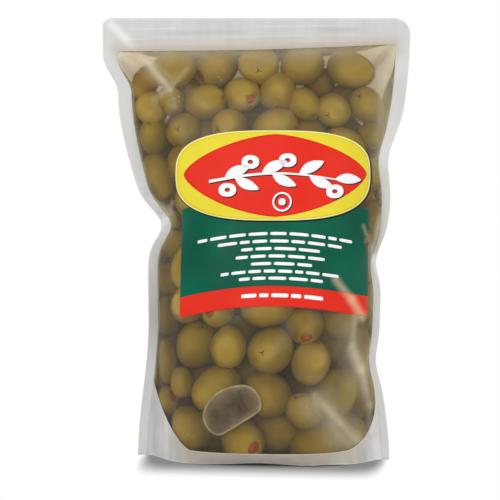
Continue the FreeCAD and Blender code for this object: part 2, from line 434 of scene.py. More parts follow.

# %% [markdown]
# ## Clear laminated film
# The bag is nylon and polyethylene, laminated and blown: clear, slightly cloudy and glossy. It
# could be a glass shader on a solid sheet, but it is far too thin to bend light and that would
# take many bounces. So it is a mix of nothing at all with a shine that grows at a grazing angle,
# as Fresnel gives. The film lies wet against the brine, which has a shine of its own, so the film
# adds only what its slightly higher index adds. Where it is creased a milky tone takes over,
# partly as the film clouds there and partly as a painted highlight along the crease.

# %% Film material
film_mat, tree = new_material("clear laminated film")
place = node(tree, "TexCoord").outputs["Object"]
white = node(tree, "Attribute", attribute_name="white").outputs["Fac"]
wisps = node(tree, "TexNoise", {"Vector": place, "Scale": 1.0 / (14.0 * MM), "Detail": 3.0})
limits = {"From Min": 0.3, "From Max": 0.7, "To Min": 0.7, "To Max": 1.3}
patchy = node(tree, "MapRange", {"Value": wisps, **limits})
# crease whiteness: the film's clouding and a painted highlight
cloudy = node(tree, "Math", {0: white, 1: patchy}, operation="MULTIPLY", use_clamp=True)
slack = node(tree, "Bump", {"Height": wisps, "Distance": 0.4 * MM, "Strength": 0.5})
shine = node(tree, "Fresnel", {"IOR": 1.2, "Normal": slack})
through = node(tree, "BsdfTransparent", {"Color": colour("#E9E1D6")})
gloss = node(tree, "BsdfAnisotropic", {"Color": colour("#FFFFFF"), "Roughness": 0.08, "Normal": slack})
clear_side = node(tree, "MixShader", {0: shine, 1: through, 2: gloss})
crease_milk_and_sheen = node(tree, "BsdfPrincipled", {"Base Color": colour("#D6C8A4"), "Roughness": 0.3, "Normal": slack})
film_mix = node(tree, "MixShader", {0: cloudy, 1: clear_side, 2: crease_milk_and_sheen})
finish_material(film_mat, {"Surface": film_mix})

# %% [markdown]
# ## The bag
# A stand-up bag has three sheets: a front, a back, and a gusset folded between them at the foot.
# The gusset is welded to each wall along a curved line. That line is level in the middle, climbs
# straight at the left and in a quarter round at the right, and the gusset sags between. The three
# sheets are made as one closed shape, so that light enters and leaves the bag through film once.

# %% The gusset's line and the closed film bag
GUSSET_LOW = 7.0
LEFT_KNEE = -0.58
RIGHT_KNEE = 0.70
GUSSET_RISE = 31.0
GUSSET_SAG = 6.3
GUSSET_ROWS = 33
# how much whiter the film is just under the header and beside the seams, and how far that reaches
TOP_MIST = 0.38
TOP_MIST_REACH = 6.0
SEAM_MIST = 0.35
SEAM_MIST_REACH = 1.3


def gusset_line(s):
    """Height of the weld: level, plus a hollow climb at the left and a quarter ellipse right."""
    left = np.clip((LEFT_KNEE - s) / (LEFT_KNEE + 1.0), 0.0, 1.0)
    right = np.clip((s - RIGHT_KNEE) / (1.0 - RIGHT_KNEE), 0.0, 1.0)
    return GUSSET_LOW + GUSSET_RISE * left**1.5 + GUSSET_RISE * (1.0 - np.sqrt(1.0 - right**2))


def gusset_sag(half_gap):
    """How far the gusset hangs below its weld: less where the walls are close together."""
    return GUSSET_SAG * (1.0 - np.exp(-half_gap / 8.0))


def wall_grid(rows, columns, inset=0.0):
    """x and z over a wall: s runs between the seams, denser near them, and v up from the weld.

    z is the weld's height plus v times the way to the fill line, and x then follows s between
    the seams at that height. inset pulls the whole outline in, in mm.
    """
    even = np.linspace(-1.0, 1.0, columns)
    up = np.linspace(0.0, 1.0, rows)
    s = np.sin(even * math.pi / 2.0) * 0.6 + even * 0.4
    v = 0.5 * (0.5 - 0.5 * np.cos(up * math.pi)) + 0.5 * up
    s, v = np.meshgrid(s, v)
    foot = gusset_line(s) + inset
    z = foot + (top_line(s) - inset - foot) * v
    return between_seams(s, z, inset), z, s


def bag_surface(rows, columns, inset=0.0, dent=None):
    """Front wall, back wall and gusset as one closed shape.

    The film is misted where it was heated: its whiteness falls off as a bell below the header
    and beside the seams. dent gives how far a place in front is pushed back. The gusset runs
    straight from weld to weld, and hangs below that as one minus a fourth power.
    """
    x, z, s = wall_grid(rows, columns, inset)
    front, front_white = wall(x, z, -1, -inset)
    back, back_white = wall(x, z, 1, -inset)
    to_seam = np.minimum(x - left_seam(z), right_seam(z) - x)
    clear = 1.0 - TOP_MIST * bell(z, top_line(s), TOP_MIST_REACH)
    clear = clear * (1.0 - SEAM_MIST * bell(to_seam, 0.0, SEAM_MIST_REACH))
    front_white = 1.0 - (1.0 - front_white) * clear
    if dent is not None:
        front[..., 1] += dent(x, z)
    for rim in (np.s_[:, 0], np.s_[:, -1], np.s_[-1]):
        front[rim] = back[rim] = (front[rim] + back[rim]) / 2.0
    w = np.linspace(-1.0, 1.0, GUSSET_ROWS)[:, None, None]
    gusset = front[0] * (1.0 - w) / 2.0 + back[0] * (1.0 + w) / 2.0
    half_gap = np.linalg.norm(front[0] - back[0], axis=-1) / 2.0
    gusset[..., 2] -= gusset_sag(half_gap) * (1.0 - w[..., 0] ** 4)
    gusset_white = np.full(gusset.shape[:2], CLOUD * 2.0)
    face = grid_faces(rows, columns)
    return joined([
        (front.reshape(-1, 3), face, {"white": front_white.ravel()}),
        (back.reshape(-1, 3), face[:, ::-1], {"white": back_white.ravel()}),
        (gusset.reshape(-1, 3), grid_faces(GUSSET_ROWS, columns), {"white": gusset_white.ravel()}),
    ])


film_bag = put_mesh("film_bag", bag_surface(200, 150), film_mat)

# %% [markdown]
# ## Heat seals
# Hot bars press the sheets together round the edge, and the weld comes out frosted: the bars'
# fine texture scatters the light, and drawn streaks show in it. The side seals and the wide
# header are one band, laid between two outlines, the seam and the cut edge, so that it has
# rounded corners and no joint. The bars leave broken lines across the header.

# %% Frosted seal material


def frosted_film(name, dark, light, sheerness, swing):
    """Frosted film between two greys by its whiteness, warm where it wets the brine.

    Streaks and blotches add up to swing to the whiteness, or take as much away.
    """
    material, tree = new_material(name)
    place = node(tree, "TexCoord").outputs["Object"]
    white = node(tree, "Attribute", attribute_name="white").outputs["Fac"]
    warm = node(tree, "Attribute", attribute_name="warm").outputs["Fac"]
    drawn = node(tree, "Mapping", {"Vector": place, "Scale": (1.0, 1.0, 0.12)})
    streaks = node(tree, "TexNoise", {"Vector": drawn, "Scale": 1.0 / (5.0 * MM), "Detail": 4.0})
    blotches = node(tree, "TexNoise", {"Vector": place, "Scale": 1.0 / (16.0 * MM), "Detail": 2.0})
    uneven = node(tree, "Math", {0: streaks, 1: blotches}, operation="ADD")
    lighter = wandering(tree, white, uneven, 0.7, 1.3, swing)
    greys = node(tree, "ValToRGB", {"Fac": lighter}, [(0.0, dark), (1.0, light)])
    wetted = node(tree, "Mix", {0: warm, 6: greys, 7: colour("#C9BDA8")}, data_type="RGBA")
    grain = node(tree, "TexNoise", {"Vector": place, "Scale": 1.0 / (0.7 * MM), "Detail": 2.0})
    frost = node(tree, "Bump", {"Height": grain, "Distance": 0.06 * MM, "Strength": 0.4})
    gloss = {"Roughness": 0.4, "Specular IOR Level": 0.3, "Normal": frost}
    pressed = node(tree, "BsdfPrincipled", {"Base Color": wetted.outputs[2], **gloss})
    sheer = node(tree, "BsdfTransparent", {"Color": colour("#F4F3F1")})
    seal_mix = node(tree, "MixShader", {0: sheerness, 1: pressed, 2: sheer})
    finish_material(material, {"Surface": seal_mix})
    return material


seal_mat = frosted_film("heat-sealed film, frosted", "#BDBCBA", "#F4F4F2", 0.2, 0.1)

# %% The band between the seam and the cut edge
SEAL_THICK = 0.36
SEAM_OVERLAP = 0.35
# the corner radius of each line at the left and at the right
SEAM_ROUNDS = (2.5, 2.5)
EDGE_ROUNDS = (4.0, 8.0)
# height, half width and depth of the marks that the sealing bars left across the header
BAR_MARKS = [
    (211.2, 1.1, 0.22),
    (213.6, 0.3, -0.3),
    (208.7, 0.35, -0.32),
    (207.9, 0.3, 0.2),
    (205.8, 0.3, -0.28),
]


def arch_path(left, right, top, left_round, right_round):
    """A path up one side, round a corner, across the top, round a corner and down the side.

    left and right give x from a height, and top gives a height from the share of the way
    across. The corners are quarter circles.
    """
    left_high = top(0.0) - left_round
    right_high = top(1.0) - right_round
    x_left = left(np.array(top(0.0))) + left_round
    x_right = right(np.array(top(1.0))) - right_round
    up = np.linspace(0.0, left_high, 160)
    down = np.linspace(right_high, 0.0, 160)
    turn = np.linspace(0.0, math.pi / 2.0, 14)[1:-1]
    along = np.linspace(0.0, 1.0, 120)
    left_corner = (x_left - left_round * np.cos(turn), left_high + left_round * np.sin(turn))
    right_corner = (x_right + right_round * np.sin(turn), right_high + right_round * np.cos(turn))
    across_top = x_left + (x_right - x_left) * along
    x = np.concatenate([left(up), left_corner[0], across_top, right_corner[0], right(down)])
    z = np.concatenate([up, left_corner[1], top(along), right_corner[1], down])
    return x, z


def seal_band(columns=34):
    """A sheet between the seam path and the edge path, each face half a thickness off the middle.

    The middle leans and waves a little, more towards the edge. Each mark of the bars is a bell
    in height, pressed in or raised, and broken into dashes, and is painted darker where pressed
    and lighter where raised, as painted shade and highlight. The folds whiten it, partly as the
    film clouding and partly as a painted highlight, and a painted highlight runs along the cut
    edge. The film is warm in tone where it lies close to the brine, and duller low on the left.
    """
    x_in, z_in = arch_path(
        lambda z: left_seam(z) + SEAM_OVERLAP,
        lambda z: right_seam(z) - SEAM_OVERLAP,
        lambda share: top_line(2.0 * share - 1.0) - SEAM_OVERLAP,
        *SEAM_ROUNDS,
    )
    x_out, z_out = arch_path(left_edge, right_edge, lambda share: TALL + 0.0 * share, *EDGE_ROUNDS)
    u = np.linspace(0.0, 1.0, columns)
    x = x_in[:, None] + (x_out - x_in)[:, None] * u
    z = z_in[:, None] + (z_out - z_in)[:, None] * u
    lean = 0.7 * u * (np.sin(x / 19.0 + 0.6) + 0.6 * np.sin(z / 13.0 + x / 40.0))
    marks = np.zeros_like(x)
    for at, half, deep in BAR_MARKS:
        broken = 0.5 + 0.7 * np.sin(x / 11.0 + at) + 0.4 * np.sin(x / 4.3 - 2.0 * at)
        marks += deep * bell(z - 0.02 * x, at, half) * np.clip(broken, 0.0, 1.0)
    marks = marks * ramp(np.abs(x + 6.0), 66.0, 48.0)
    depth, white = folded(x, z, FRONT_FOLDS)
    front = turned(x, lean - SEAL_THICK / 2.0 + marks + 0.5 * depth, z)
    back = turned(x, lean + SEAL_THICK / 2.0 + marks + 0.5 * depth, z)
    # a painted highlight along the cut edge
    edge = np.clip((u - 0.92) / 0.08, 0.0, 1.0) * 0.25
    side = ramp(z, 203.0, 196.0)
    dull = 0.38 * bell(z, 72.0, 24.0) * (x < 0.0)
    # the bar marks take whiteness away where pressed and add it where raised: painted shade and highlight
    white = np.clip(white + 0.40 + 0.06 * side - dull + edge - 0.9 * marks, 0.0, 1.0)
    above = z - top_line(np.clip(x / HALF_WIDTH, -1.0, 1.0))
    between = ramp(np.abs(across(x, np.minimum(z, TOP_LEFT))), 1.08, 0.97)
    warm = 0.75 * (1.0 - side) * between * bell(np.maximum(above, 0.0), 0.0, 4.0)
    return sheet(front, back, white=white, warm=warm)


seals = put_mesh("seal_band", seal_band(), seal_mat)

# %% [markdown]
# ## The skirt
# Below the gusset's weld each wall goes on down to the floor as a stiff skirt, which the bag
# stands on. It is frosted like the seals, with a frosted bead along the weld and a bright bead
# along the cut edge, whose brightness is a painted highlight. Soft upright folds in the corners,
# where the film is gathered in, are painted lighter on their crests and darker in their hollows,
# and the right corner is painted whiter as a highlight. It is a sheet of its own, so that it can
# be tucked in and flared without moving the bag.

# %% Front and back skirts
skirt_mat = frosted_film("film skirt, half frosted", "#CBCAC9", "#F6F6F5", 0.26, 0.4)
SKIRT_TUCK = 5.5
SKIRT_FLARE = 4.0
BEAD_HALF = 0.5


def skirt_foot(x, side):
    """Height of the cut edge: it lifts off the floor a little in the middle of each side."""
    lift = 1.2 * bell(x, 4.0, 17.0) + 0.5 * bell(x, 38.0, 9.0)
    return lift if side < 0 else 0.6 * bell(x, -8.0, 18.0)


def skirt(side, rows=34, columns=150):
    """A thin sheet from the floor up to the weld, with a bead at both ends and gathered corners.

    A bead is a bell outwards. The gathers are waves across, strongest in the corners and at
    mid height. At the floor the skirt is tucked in under the bulging bag midway, and flares out
    towards each corner. The middle is warm with the brine behind it.
    """
    s = np.linspace(-1.0, 1.0, columns)
    v = 0.5 - 0.5 * np.cos(np.linspace(0.0, 1.0, rows) * math.pi)
    s, v = np.meshgrid(s, v)
    weld = gusset_line(s)
    x = between_seams(s, weld * v)
    low = skirt_foot(x, side)
    z = low + (weld - low) * v
    gathered = np.clip((weld - GUSSET_LOW) / 12.0, 0.0, 1.0)
    corner = gathered * (1.0 - np.abs(s) ** 12)
    gather = corner * np.sin(v * math.pi) ** 0.7
    gather = gather * (0.55 * np.sin(x / 1.9) + 0.35 * np.sin(x / 3.1 + z / 9.0))
    bead = bell(z, weld, BEAD_HALF) + 0.7 * bell(z, low, BEAD_HALF)
    flare = bell(s, -0.74, 0.2) + bell(s, 0.8, 0.16)
    tuck = SKIRT_TUCK * (1.0 - s**2) ** 1.5 - SKIRT_FLARE * flare * (1.0 - s**12)
    tuck = (1.0 - v) ** 1.3 * tuck
    outer, white = wall(x, z, side, 0.20 + 0.22 * bead + gather - tuck)
    inner, _ = wall(x, z, side, gather - 0.05 - tuck)
    # painted light in the whiteness: the cut edge's bead and the right corner as painted highlights, and
    # lighter crests and darker hollows on the gathers as painted light and shade; the weld's bead is its
    # frost
    right_corner_highlight = ramp(-s, 0.0, -0.8)
    shade = white + (0.14 + 0.45 * right_corner_highlight) * gathered + 0.7 * bead + 0.25 * gather
    warm = 0.4 * (1.0 - gathered) * (1.0 + v) * (1.0 - 0.6 * np.clip(bead, 0.0, 1.0))
    return sheet(outer, inner, white=np.clip(shade + 0.05, 0.0, 1.0), warm=warm)


skirts = [
    put_mesh(name, skirt(side), skirt_mat)
    for side, name in ((-1, "skirt_front"), (1, "skirt_back"))
]

# %% [markdown]
# ## Brine
# Salt water with a little oil and colour from the fruit fills the bag to the seal. It bends light
# like water and swallows more of it the deeper one looks, blue first, which makes the gaps
# between the olives brown. A tint on its surface could not do that, so it has a volume. It is a
# closed shape just inside the film. A bubble of air trapped under the film near the foot pushes
# the brine back in a shallow bean-shaped hollow. Lamps would hardly shine through glass in so
# few rays, so to the lamps' rays its surface is simply clear.

# %% Brine material and shape
brine_mat, tree = new_material("brine, cloudy")
to_lamp = node(tree, "LightPath").outputs["Is Shadow Ray"]
water = node(tree, "BsdfGlass", {"Color": colour("#FFFFFF"), "Roughness": 0.0, "IOR": 1.34})
lit = node(tree, "BsdfTransparent", {"Color": colour("#F8F4EC")})
brine_mix = node(tree, "MixShader", {0: to_lamp, 1: water, 2: lit})
murk = node(tree, "VolumeAbsorption", {"Color": colour("#9F8D4F"), "Density": 62.0})
finish_material(brine_mat, {"Surface": brine_mix, "Volume": murk})

BRINE_INSET = 0.06
BUBBLE_ENDS = (-14.0, 25.0, -4.0, 31.5)
BUBBLE_BOW = 1.2
BUBBLE_DEEP = 2.4
BUBBLE_FLAT = 7.6
BUBBLE_HALF = 10.8


def air_hollow(x, height):
    """A bean: the distance to a short bowed line, turned into a plateau.

    The depth is full inside the flat's half width and falls to nothing at the bubble's, as the
    smooth S.
    """
    t, aside, above = from_line(x, height, *BUBBLE_ENDS)
    bow = BUBBLE_BOW * np.sin(t * math.pi)
    return BUBBLE_DEEP * ramp(np.hypot(aside + bow, above - bow), BUBBLE_HALF, BUBBLE_FLAT)


points, faces, _ = bag_surface(220, 190, inset=BRINE_INSET, dent=air_hollow)
brine = put_mesh("brine", (points, faces, {}), brine_mat)

# %% [markdown]
# ## Packing the olives
# About a hundred and sixty olives share the bag, pressed against the film and each other. A
# rigid-body simulation could drop them in, but it would not put chosen ones where they are wanted.
# So the ones that show in front are listed one by one: where the middle is, how long and how thick,
# and which way the stuffed end points. The rest start at random places, with a fixed seed, and
# all of them are then pushed apart and back inside the film, a little at a time, until they fit.

# %% The front olives
# x and z of the middle, length, girth, tilt of the stuffed end (0 right, 90 up), nod of that end
# towards the viewer, and tone from dark amber 0 to pale beige 1.
FRONT_OLIVES = np.array([
    (-44, 192, 25, 19, 10, 0, 0.55),
    (-52, 184, 19, 14, 60, 0, 0.25),
    (-21, 194, 25, 20, 202, 30, 0.62),
    (-29, 181, 24, 18, 195, -35, 0.50),
    (-6, 183, 20, 18, -19, 58, 0.72),
    (1, 195, 22, 21, 90, -78, 0.70),
    (14, 184, 21, 19, 88, -40, 0.68),
    (23, 194, 24, 20, 30, 0, 0.45),
    (46, 193, 26, 19, 170, -15, 0.55),
    (34, 177, 20, 18, 39, -68, 0.66),
    (54, 173, 22, 18, -55, -50, 0.60),
    (-49, 167, 21, 16, -62, -40, 0.42),
    (-35, 162, 20, 18, -16, -65, 0.52),
    (-14, 167, 21, 18, 13, -50, 0.55),
    (14, 165, 25, 19, 20, 0, 0.60),
    (46, 157, 26, 20, -47, -35, 0.62),
    (-46, 143, 27, 17, -64, 20, 0.50),
    (-42, 120, 14, 11, 80, 0, 0.45),
    (-34, 96, 24, 18, 88, 0, 0.48),
    (-39, 73, 22, 15, 85, 0, 0.50),
    (-42, 48, 25, 13, 92, 0, 0.50),
    (-25, 59, 27, 21, -105, -35, 0.50),
    (11, 77, 27, 21, 5, 0, 0.48),
    (38, 72, 22, 20, 30, 0, 0.42),
    (5, 57, 25, 23, 0, -76, 0.70),
    (28, 53, 23, 19, 80, 10, 0.80),
    (40, 35, 27, 22, -112, 15, 0.62),
    (-17, 39, 27, 21, 225, 0, 0.60),
    (-29, 17, 24, 21, 120, -20, 0.56),
    (11, 34, 25, 22, -30, -10, 0.36),
    (-1, 14, 26, 21, -20, 55, 0.60),
    (26, 14, 26, 20, 10, 0, 0.36),
    (57, 142, 20, 12, 90, 0, 0.70),
    (56, 120, 20, 13, 90, 0, 0.60),
    (54, 97, 22, 14, 95, 0, 0.55),
    (54, 78, 20, 13, 85, 0, 0.50),
    (50, 56, 24, 14, 95, 0, 0.50),
    (50, 33, 24, 14, 88, 0, 0.10),
])
OLIVE_COUNT = 164
SMALL_OLIVE = (20.0, 17.0)
LARGE_OLIVE = (26.0, 21.0)
# the box that starting places are drawn from, how many are drawn, and their room from the film
START_LOW = (-58.0, -24.0, 12.0)
START_HIGH = (58.0, 24.0, 196.0)
START_TRIES = 4000
START_ROOM = 7.0
START_ACROSS = 0.9
# two rows of eight start near the top, so that no gap opens there
UPPER_X = np.linspace(-44.0, 45.0, 8)
UPPER_Y = 4.0
UPPER_Z = (174.0, 187.0)
rng = np.random.default_rng(11)


def directions(tilt, nod):
    """Unit vectors: tilt turns in the front view from +X towards +Z, nod lifts towards -Y."""
    tilt = np.radians(tilt)
    nod = np.radians(nod)
    return xyz(np.cos(nod) * np.cos(tilt), -np.sin(nod), np.cos(nod) * np.sin(tilt))


def all_olives(placed, small, large, share):
    """Half sizes of all olives: those placed by hand, then the rest by their share of the range."""
    return np.concatenate([placed, small + share * (large - small)]) / 2.0


lengths = FRONT_OLIVES[:, 2]
print(f"front olives: {lengths.min():.0f} to {lengths.max():.0f} mm long")

# %% Starting places
shown = len(FRONT_OLIVES)
hidden = OLIVE_COUNT - shown
x, z, length, girth, tilt, nod, shown_tone = FRONT_OLIVES.T
spots = rng.uniform(START_LOW, START_HIGH, (START_TRIES, 3))
inside = np.abs(spots[:, 1]) < swell(spots[:, 0], spots[:, 2]) - START_ROOM
spots = spots[inside & (np.abs(across(spots[:, 0], spots[:, 2])) < START_ACROSS)][:hidden]
upper_rows = xyz(*np.meshgrid(UPPER_X, UPPER_Y, UPPER_Z)).reshape(-1, 3)
spots = np.concatenate([upper_rows, spots])[:hidden]
share = rng.uniform(0.0, 1.0, hidden)
long_half = all_olives(length, SMALL_OLIVE[0], LARGE_OLIVE[0], share)
round_half = all_olives(girth, SMALL_OLIVE[1], LARGE_OLIVE[1], share)
any_way = directions(rng.uniform(0.0, 360.0, hidden), rng.uniform(-60.0, 60.0, hidden))
axis = np.concatenate([directions(tilt, nod), any_way])
tone = np.concatenate([shown_tone, rng.uniform(0.2, 0.85, hidden)])
home = xyz(x, round_half[:shown] - swell(x, z), z)
centre = np.concatenate([home, spots])
print(shown, "olives placed by hand,", hidden, "left to find their own place")

# %% [markdown]
# ### Pushing them apart
# An olive is close to an ellipsoid. Its reach in a direction says how far apart two must be, and
# its outermost points say where it pokes through the film. Each round pushes every pair that
# overlaps apart by half the overlap, and each poking point back by the depth it is out.

# %% How far an olive reaches
PROBES = 42


def radial_reach(direction, axis, long_half, round_half):
    """Distance from an ellipsoid's middle to its skin: 1 / sqrt(c^2 / a^2 + (1 - c^2) / b^2)."""
    c2 = np.sum(direction * axis, axis=-1) ** 2
    return 1.0 / np.sqrt(c2 / long_half**2 + (1.0 - c2) / round_half**2)


def probe_directions(count):
    """Even directions over a ball: a spiral of equal steps in height and golden-angle turns."""
    step = np.arange(count) + 0.5
    z = 1.0 - 2.0 * step / count
    turn = step * math.pi * (3.0 - math.sqrt(5.0))
    ring = np.sqrt(1.0 - z**2)
    return xyz(ring * np.cos(turn), ring * np.sin(turn), z)


def outermost(centre, axis, long_half, round_half, probes):
    """The skin point furthest along each probe: (b^2 d + (a^2 - b^2)(a.d) a) / support."""
    c = axis @ probes.T
    a2 = (long_half**2)[:, None]
    b2 = (round_half**2)[:, None]
    support = np.sqrt(b2 + (a2 - b2) * c**2)
    point = b2[..., None] * probes + ((a2 - b2) * c)[..., None] * axis[:, None]
    return centre[:, None] + point / support[..., None]


tips = outermost(centre, axis, long_half, round_half, probe_directions(PROBES))
print(f"the olives start with points up to {np.abs(tips[..., 0]).max():.0f} mm from the middle")

# %% How the film pushes back
ROOF_GAP = 1.5
FLOOR_GAP = 0.4
SLOPE_STEP = 0.02
# how near the seams an olive may come, how much less in the top corners, and how hard they push
SEAM_REACH = 0.985
CORNER_LESS = 0.2
SEAM_PUSH = 60.0


def gusset_floor(x, y, height):
    """Height of the gusset under a point, and its slope across, from the weld and its sag."""
    s = np.clip(across(x, height), -1.0, 1.0)
    weld = gusset_line(s)
    width = np.maximum(swell(x, weld), 0.5)
    floor = weld - gusset_sag(width) * np.clip(1.0 - (y / width) ** 4, 0.0, 1.0)
    right = gusset_line(np.clip(s + SLOPE_STEP, -1.0, 1.0))
    left = gusset_line(np.clip(s - SLOPE_STEP, -1.0, 1.0))
    return floor, (right - left) / 2.0


def film_push(points, slack):
    """How far and which way each point must move to be slack inside the film.

    A point past a wall goes back square to the wall's swell. One past a seam, the fill line or
    the gusset goes straight back, and off the gusset a little downhill as well. The top corners
    are too narrow for an olive, so there the seams count as nearer.
    """
    x, y, z = np.moveaxis(points, -1, 0)
    s = across(x, z)
    roof = top_line(np.clip(s, -1.0, 1.0)) - ROOF_GAP
    z_safe = np.clip(z, 2.0, roof)
    front, _ = stand_off(x, z_safe, -1, 1.0)
    back, _ = stand_off(x, z_safe, 1, 1.0)
    stand = np.where(y < 0.0, front, back)
    slope_x = swell(x + 0.5, z_safe) - swell(x - 0.5, z_safe)
    slope_z = swell(x, np.minimum(z_safe + 0.5, roof)) - swell(x, z_safe - 0.5)
    length2 = 1.0 + slope_x**2 + slope_z**2
    side = np.where(y < 0.0, -1.0, 1.0)
    out = np.maximum(np.abs(y) - stand + slack * np.sqrt(length2), 0.0) / length2
    push = xyz(slope_x * out, -side * out, slope_z * out)
    reach = SEAM_REACH - CORNER_LESS * ramp(-z, -182.0, -198.0)
    push[..., 0] -= np.maximum(np.abs(s) - reach, 0.0) * SEAM_PUSH * np.sign(s)
    push[..., 2] -= np.maximum(z - roof, 0.0)
    floor, slope = gusset_floor(x, y, np.clip(z, 0.0, 60.0))
    lack = np.maximum(floor + FLOOR_GAP - z, 0.0)
    push[..., 2] += lack * 0.7
    push[..., 0] -= lack * np.clip(slope, -1.0, 1.0) * 0.5
    return push


print(f"pushed back at the start: {np.mean(film_push(tips, 0.0).any(axis=-1)):.0%} of the points")

# %% Relaxation
PUSH_ROUNDS = 300
FILM_SLACK = 0.8
LONGEST_MOVE = 2.0
PULL_HOME = 0.12
DRIFT = 0.06
# how hard the drift takes those that show forwards and the hidden ones back
SHOWN_FORWARD = 3.0
HIDDEN_BACK = 4.0
# the least size, and how far one may stay out before it shrinks, for those that show and the rest
SMALLEST = (0.96, 0.8)
ALLOWED_OUT = (2.4, 0.8)
SHRINK = 0.98
SHRINK_EVERY = 10


def push_rounds(centre, size, rounds):
    """Moves and shrinks all the olives together, round after round.

    Neighbours push each other apart, and the film pushes back the point that is furthest out.
    A slight drift fades away: forwards for those that show, back and up for the rest. Those
    that show move half as easily across, and are pulled home. At every tenth round an olive
    that is out by more than it may be loses 2% of its size, down to a limit, as small ones fill
    narrow places.
    """
    probes = probe_directions(PROBES)
    everyone = np.arange(OLIVE_COUNT)
    smallest = np.where(everyone < shown, *SMALLEST)
    allowed = np.where(everyone < shown, *ALLOWED_OUT)
    loose = np.ones((OLIVE_COUNT, 3))
    loose[:shown, 0::2] = 0.5
    for turn in range(rounds):
        a = long_half * size
        b = round_half * size
        drift = DRIFT * (1.0 - turn / rounds)
        apart = centre[:, None] - centre[None]
        far = np.linalg.norm(apart, axis=-1) + np.eye(OLIVE_COUNT) * 1e6
        direction = apart / far[..., None]
        reach = radial_reach(direction, axis[:, None], a[:, None], b[:, None])
        need = np.maximum(reach + reach.T - far, 0.0)
        move = 0.5 * np.sum(need[..., None] * direction, axis=1)
        push = film_push(outermost(centre, axis, a, b, probes), FILM_SLACK)
        out = np.linalg.norm(push, axis=-1)
        move += push[everyone, np.argmax(out, axis=1)]
        move[shown:, 1] += HIDDEN_BACK * drift
        move[shown:, 2] += drift
        move[:shown, 1] -= SHOWN_FORWARD * drift
        length = np.linalg.norm(move, axis=1, keepdims=True)
        centre = centre + loose * move * np.minimum(1.0, LONGEST_MOVE / np.maximum(length, 1e-6))
        centre[:shown, 0::2] += PULL_HOME * (home[:, 0::2] - centre[:shown, 0::2])
        if (turn + 1) % SHRINK_EVERY == 0:
            squeezed = (out.max(axis=1) > allowed) & (size > smallest)
            size = np.where(squeezed, size * SHRINK, size)
    return centre, size, need.max(axis=1), out.max(axis=1)


centre, size, overlap, poke = push_rounds(centre, np.ones(OLIVE_COUNT), PUSH_ROUNDS)
long_half = long_half * size
round_half = round_half * size
litres = np.sum(long_half * round_half**2) * 4.0 / 3.0 * math.pi * 1e-6
print(f"overlap, mm: mean {overlap.mean():.2f}, most {overlap.max():.2f}")
print(f"poking out, mm: mean {poke.mean():.2f}, most {poke.max():.2f}")
print(f"olives, litres: {litres:.2f}")

# %% [markdown]
# ## The olive
# An olive is pitted by a punch that leaves a round hole at the stalk end and a small three-way
# cut at the other. It could be sculpted once and copied, but no two are the same. Turned about
# its long axis it is one profile: the hole's floor and wall, its rounded rim, a slightly
# egg-shaped side, and a dimple at the cut end. So one formula makes them all, and each has its
# own taper, lumps and hole.

# %% One profile, many olives
ROUND_STEPS = 24
SIDE_STEPS = 19
# the hole from its middle to its rim: how wide, in shares of the hole, and how far below the rim
WELL_WIDE = (0.0, 0.7, 0.93, 0.97, 1.02)
WELL_DEEP = (-4.2, -4.0, -2.8, -1.0, -0.2)
RIM_WIDER = 1.12
# three holes in plain view have a half width of their own
OWN_HOLES = {2: 3.6, 4: 2.5, 30: 3.3}
hole = np.concatenate([np.full(shown, 2.6), rng.uniform(2.2, 3.2, hidden)])
hole[list(OWN_HOLES)] = list(OWN_HOLES.values())
roll = rng.uniform(0.0, 2.0 * math.pi, OLIVE_COUNT)
taper = rng.uniform(-0.10, 0.10, OLIVE_COUNT)
lump = rng.uniform(0.0, 2.0 * math.pi, (OLIVE_COUNT, 3))


def olive_frame():
    """Two unit vectors square to each long axis, rolled about it by a random angle."""
    helper = np.where(np.abs(axis[:, 2:]) < 0.9, [[0.0, 0.0, 1.0]], [[1.0, 0.0, 0.0]])
    first = np.cross(helper, axis)
    first /= np.linalg.norm(first, axis=1, keepdims=True)
    second = np.cross(axis, first)
    c = np.cos(roll)[:, None]
    s = np.sin(roll)[:, None]
    return c * first + s * second, -s * first + c * second


def olive_surfaces():
    """Points of every olive in its own frame: an array of olive, ring, step round and xyz.

    The side is an ellipse of angle t: b sin t across and a cos t along, where a taper makes one
    end blunter. It is lumpy by slow waves round and along. The rim starts where the ellipse is
    as wide as the hole, and the hole goes down inside as a narrowing well.
    """
    a = long_half[:, None]
    b = round_half[:, None]
    h = hole[:, None]
    start = np.arcsin(h * RIM_WIDER / b)
    t = start + (math.pi - start) * np.linspace(0.0, 1.0, SIDE_STEPS) ** 0.92
    side_r = b * np.sin(t) * (1.0 + taper[:, None] * np.cos(t))
    side_z = a * np.cos(t) + 0.9 * bell(side_r, 0.0, 1.5) * (np.cos(t) < 0.0)
    r = np.concatenate([h * WELL_WIDE, side_r], axis=1)[..., None]
    z = np.concatenate([side_z[:, :1] + WELL_DEEP, side_z], axis=1)[..., None]
    turn = np.linspace(0.0, 2.0 * math.pi, ROUND_STEPS + 1)
    wave1, wave2, wave3 = np.moveaxis(lump[..., None, None], 1, 0)
    bent = 0.035 * np.sin(2.0 * turn + wave1) + 0.018 * np.sin(3.0 * turn + wave2)
    swirl = 0.02 * np.sin(turn + z / 3.0 + wave3)
    r = r * (1.0 + bent + swirl * (r > 1.2 * h[..., None]))
    return xyz(r * np.cos(turn), r * np.sin(turn), z)


own = olive_surfaces()
print("each olive has", own.shape[1], "rings of", ROUND_STEPS, "steps")

# %% From each olive's own frame to the bag
FILM_GAP = 0.3
SEAM_GAP = 0.8
first_axis, second_axis = olive_frame()


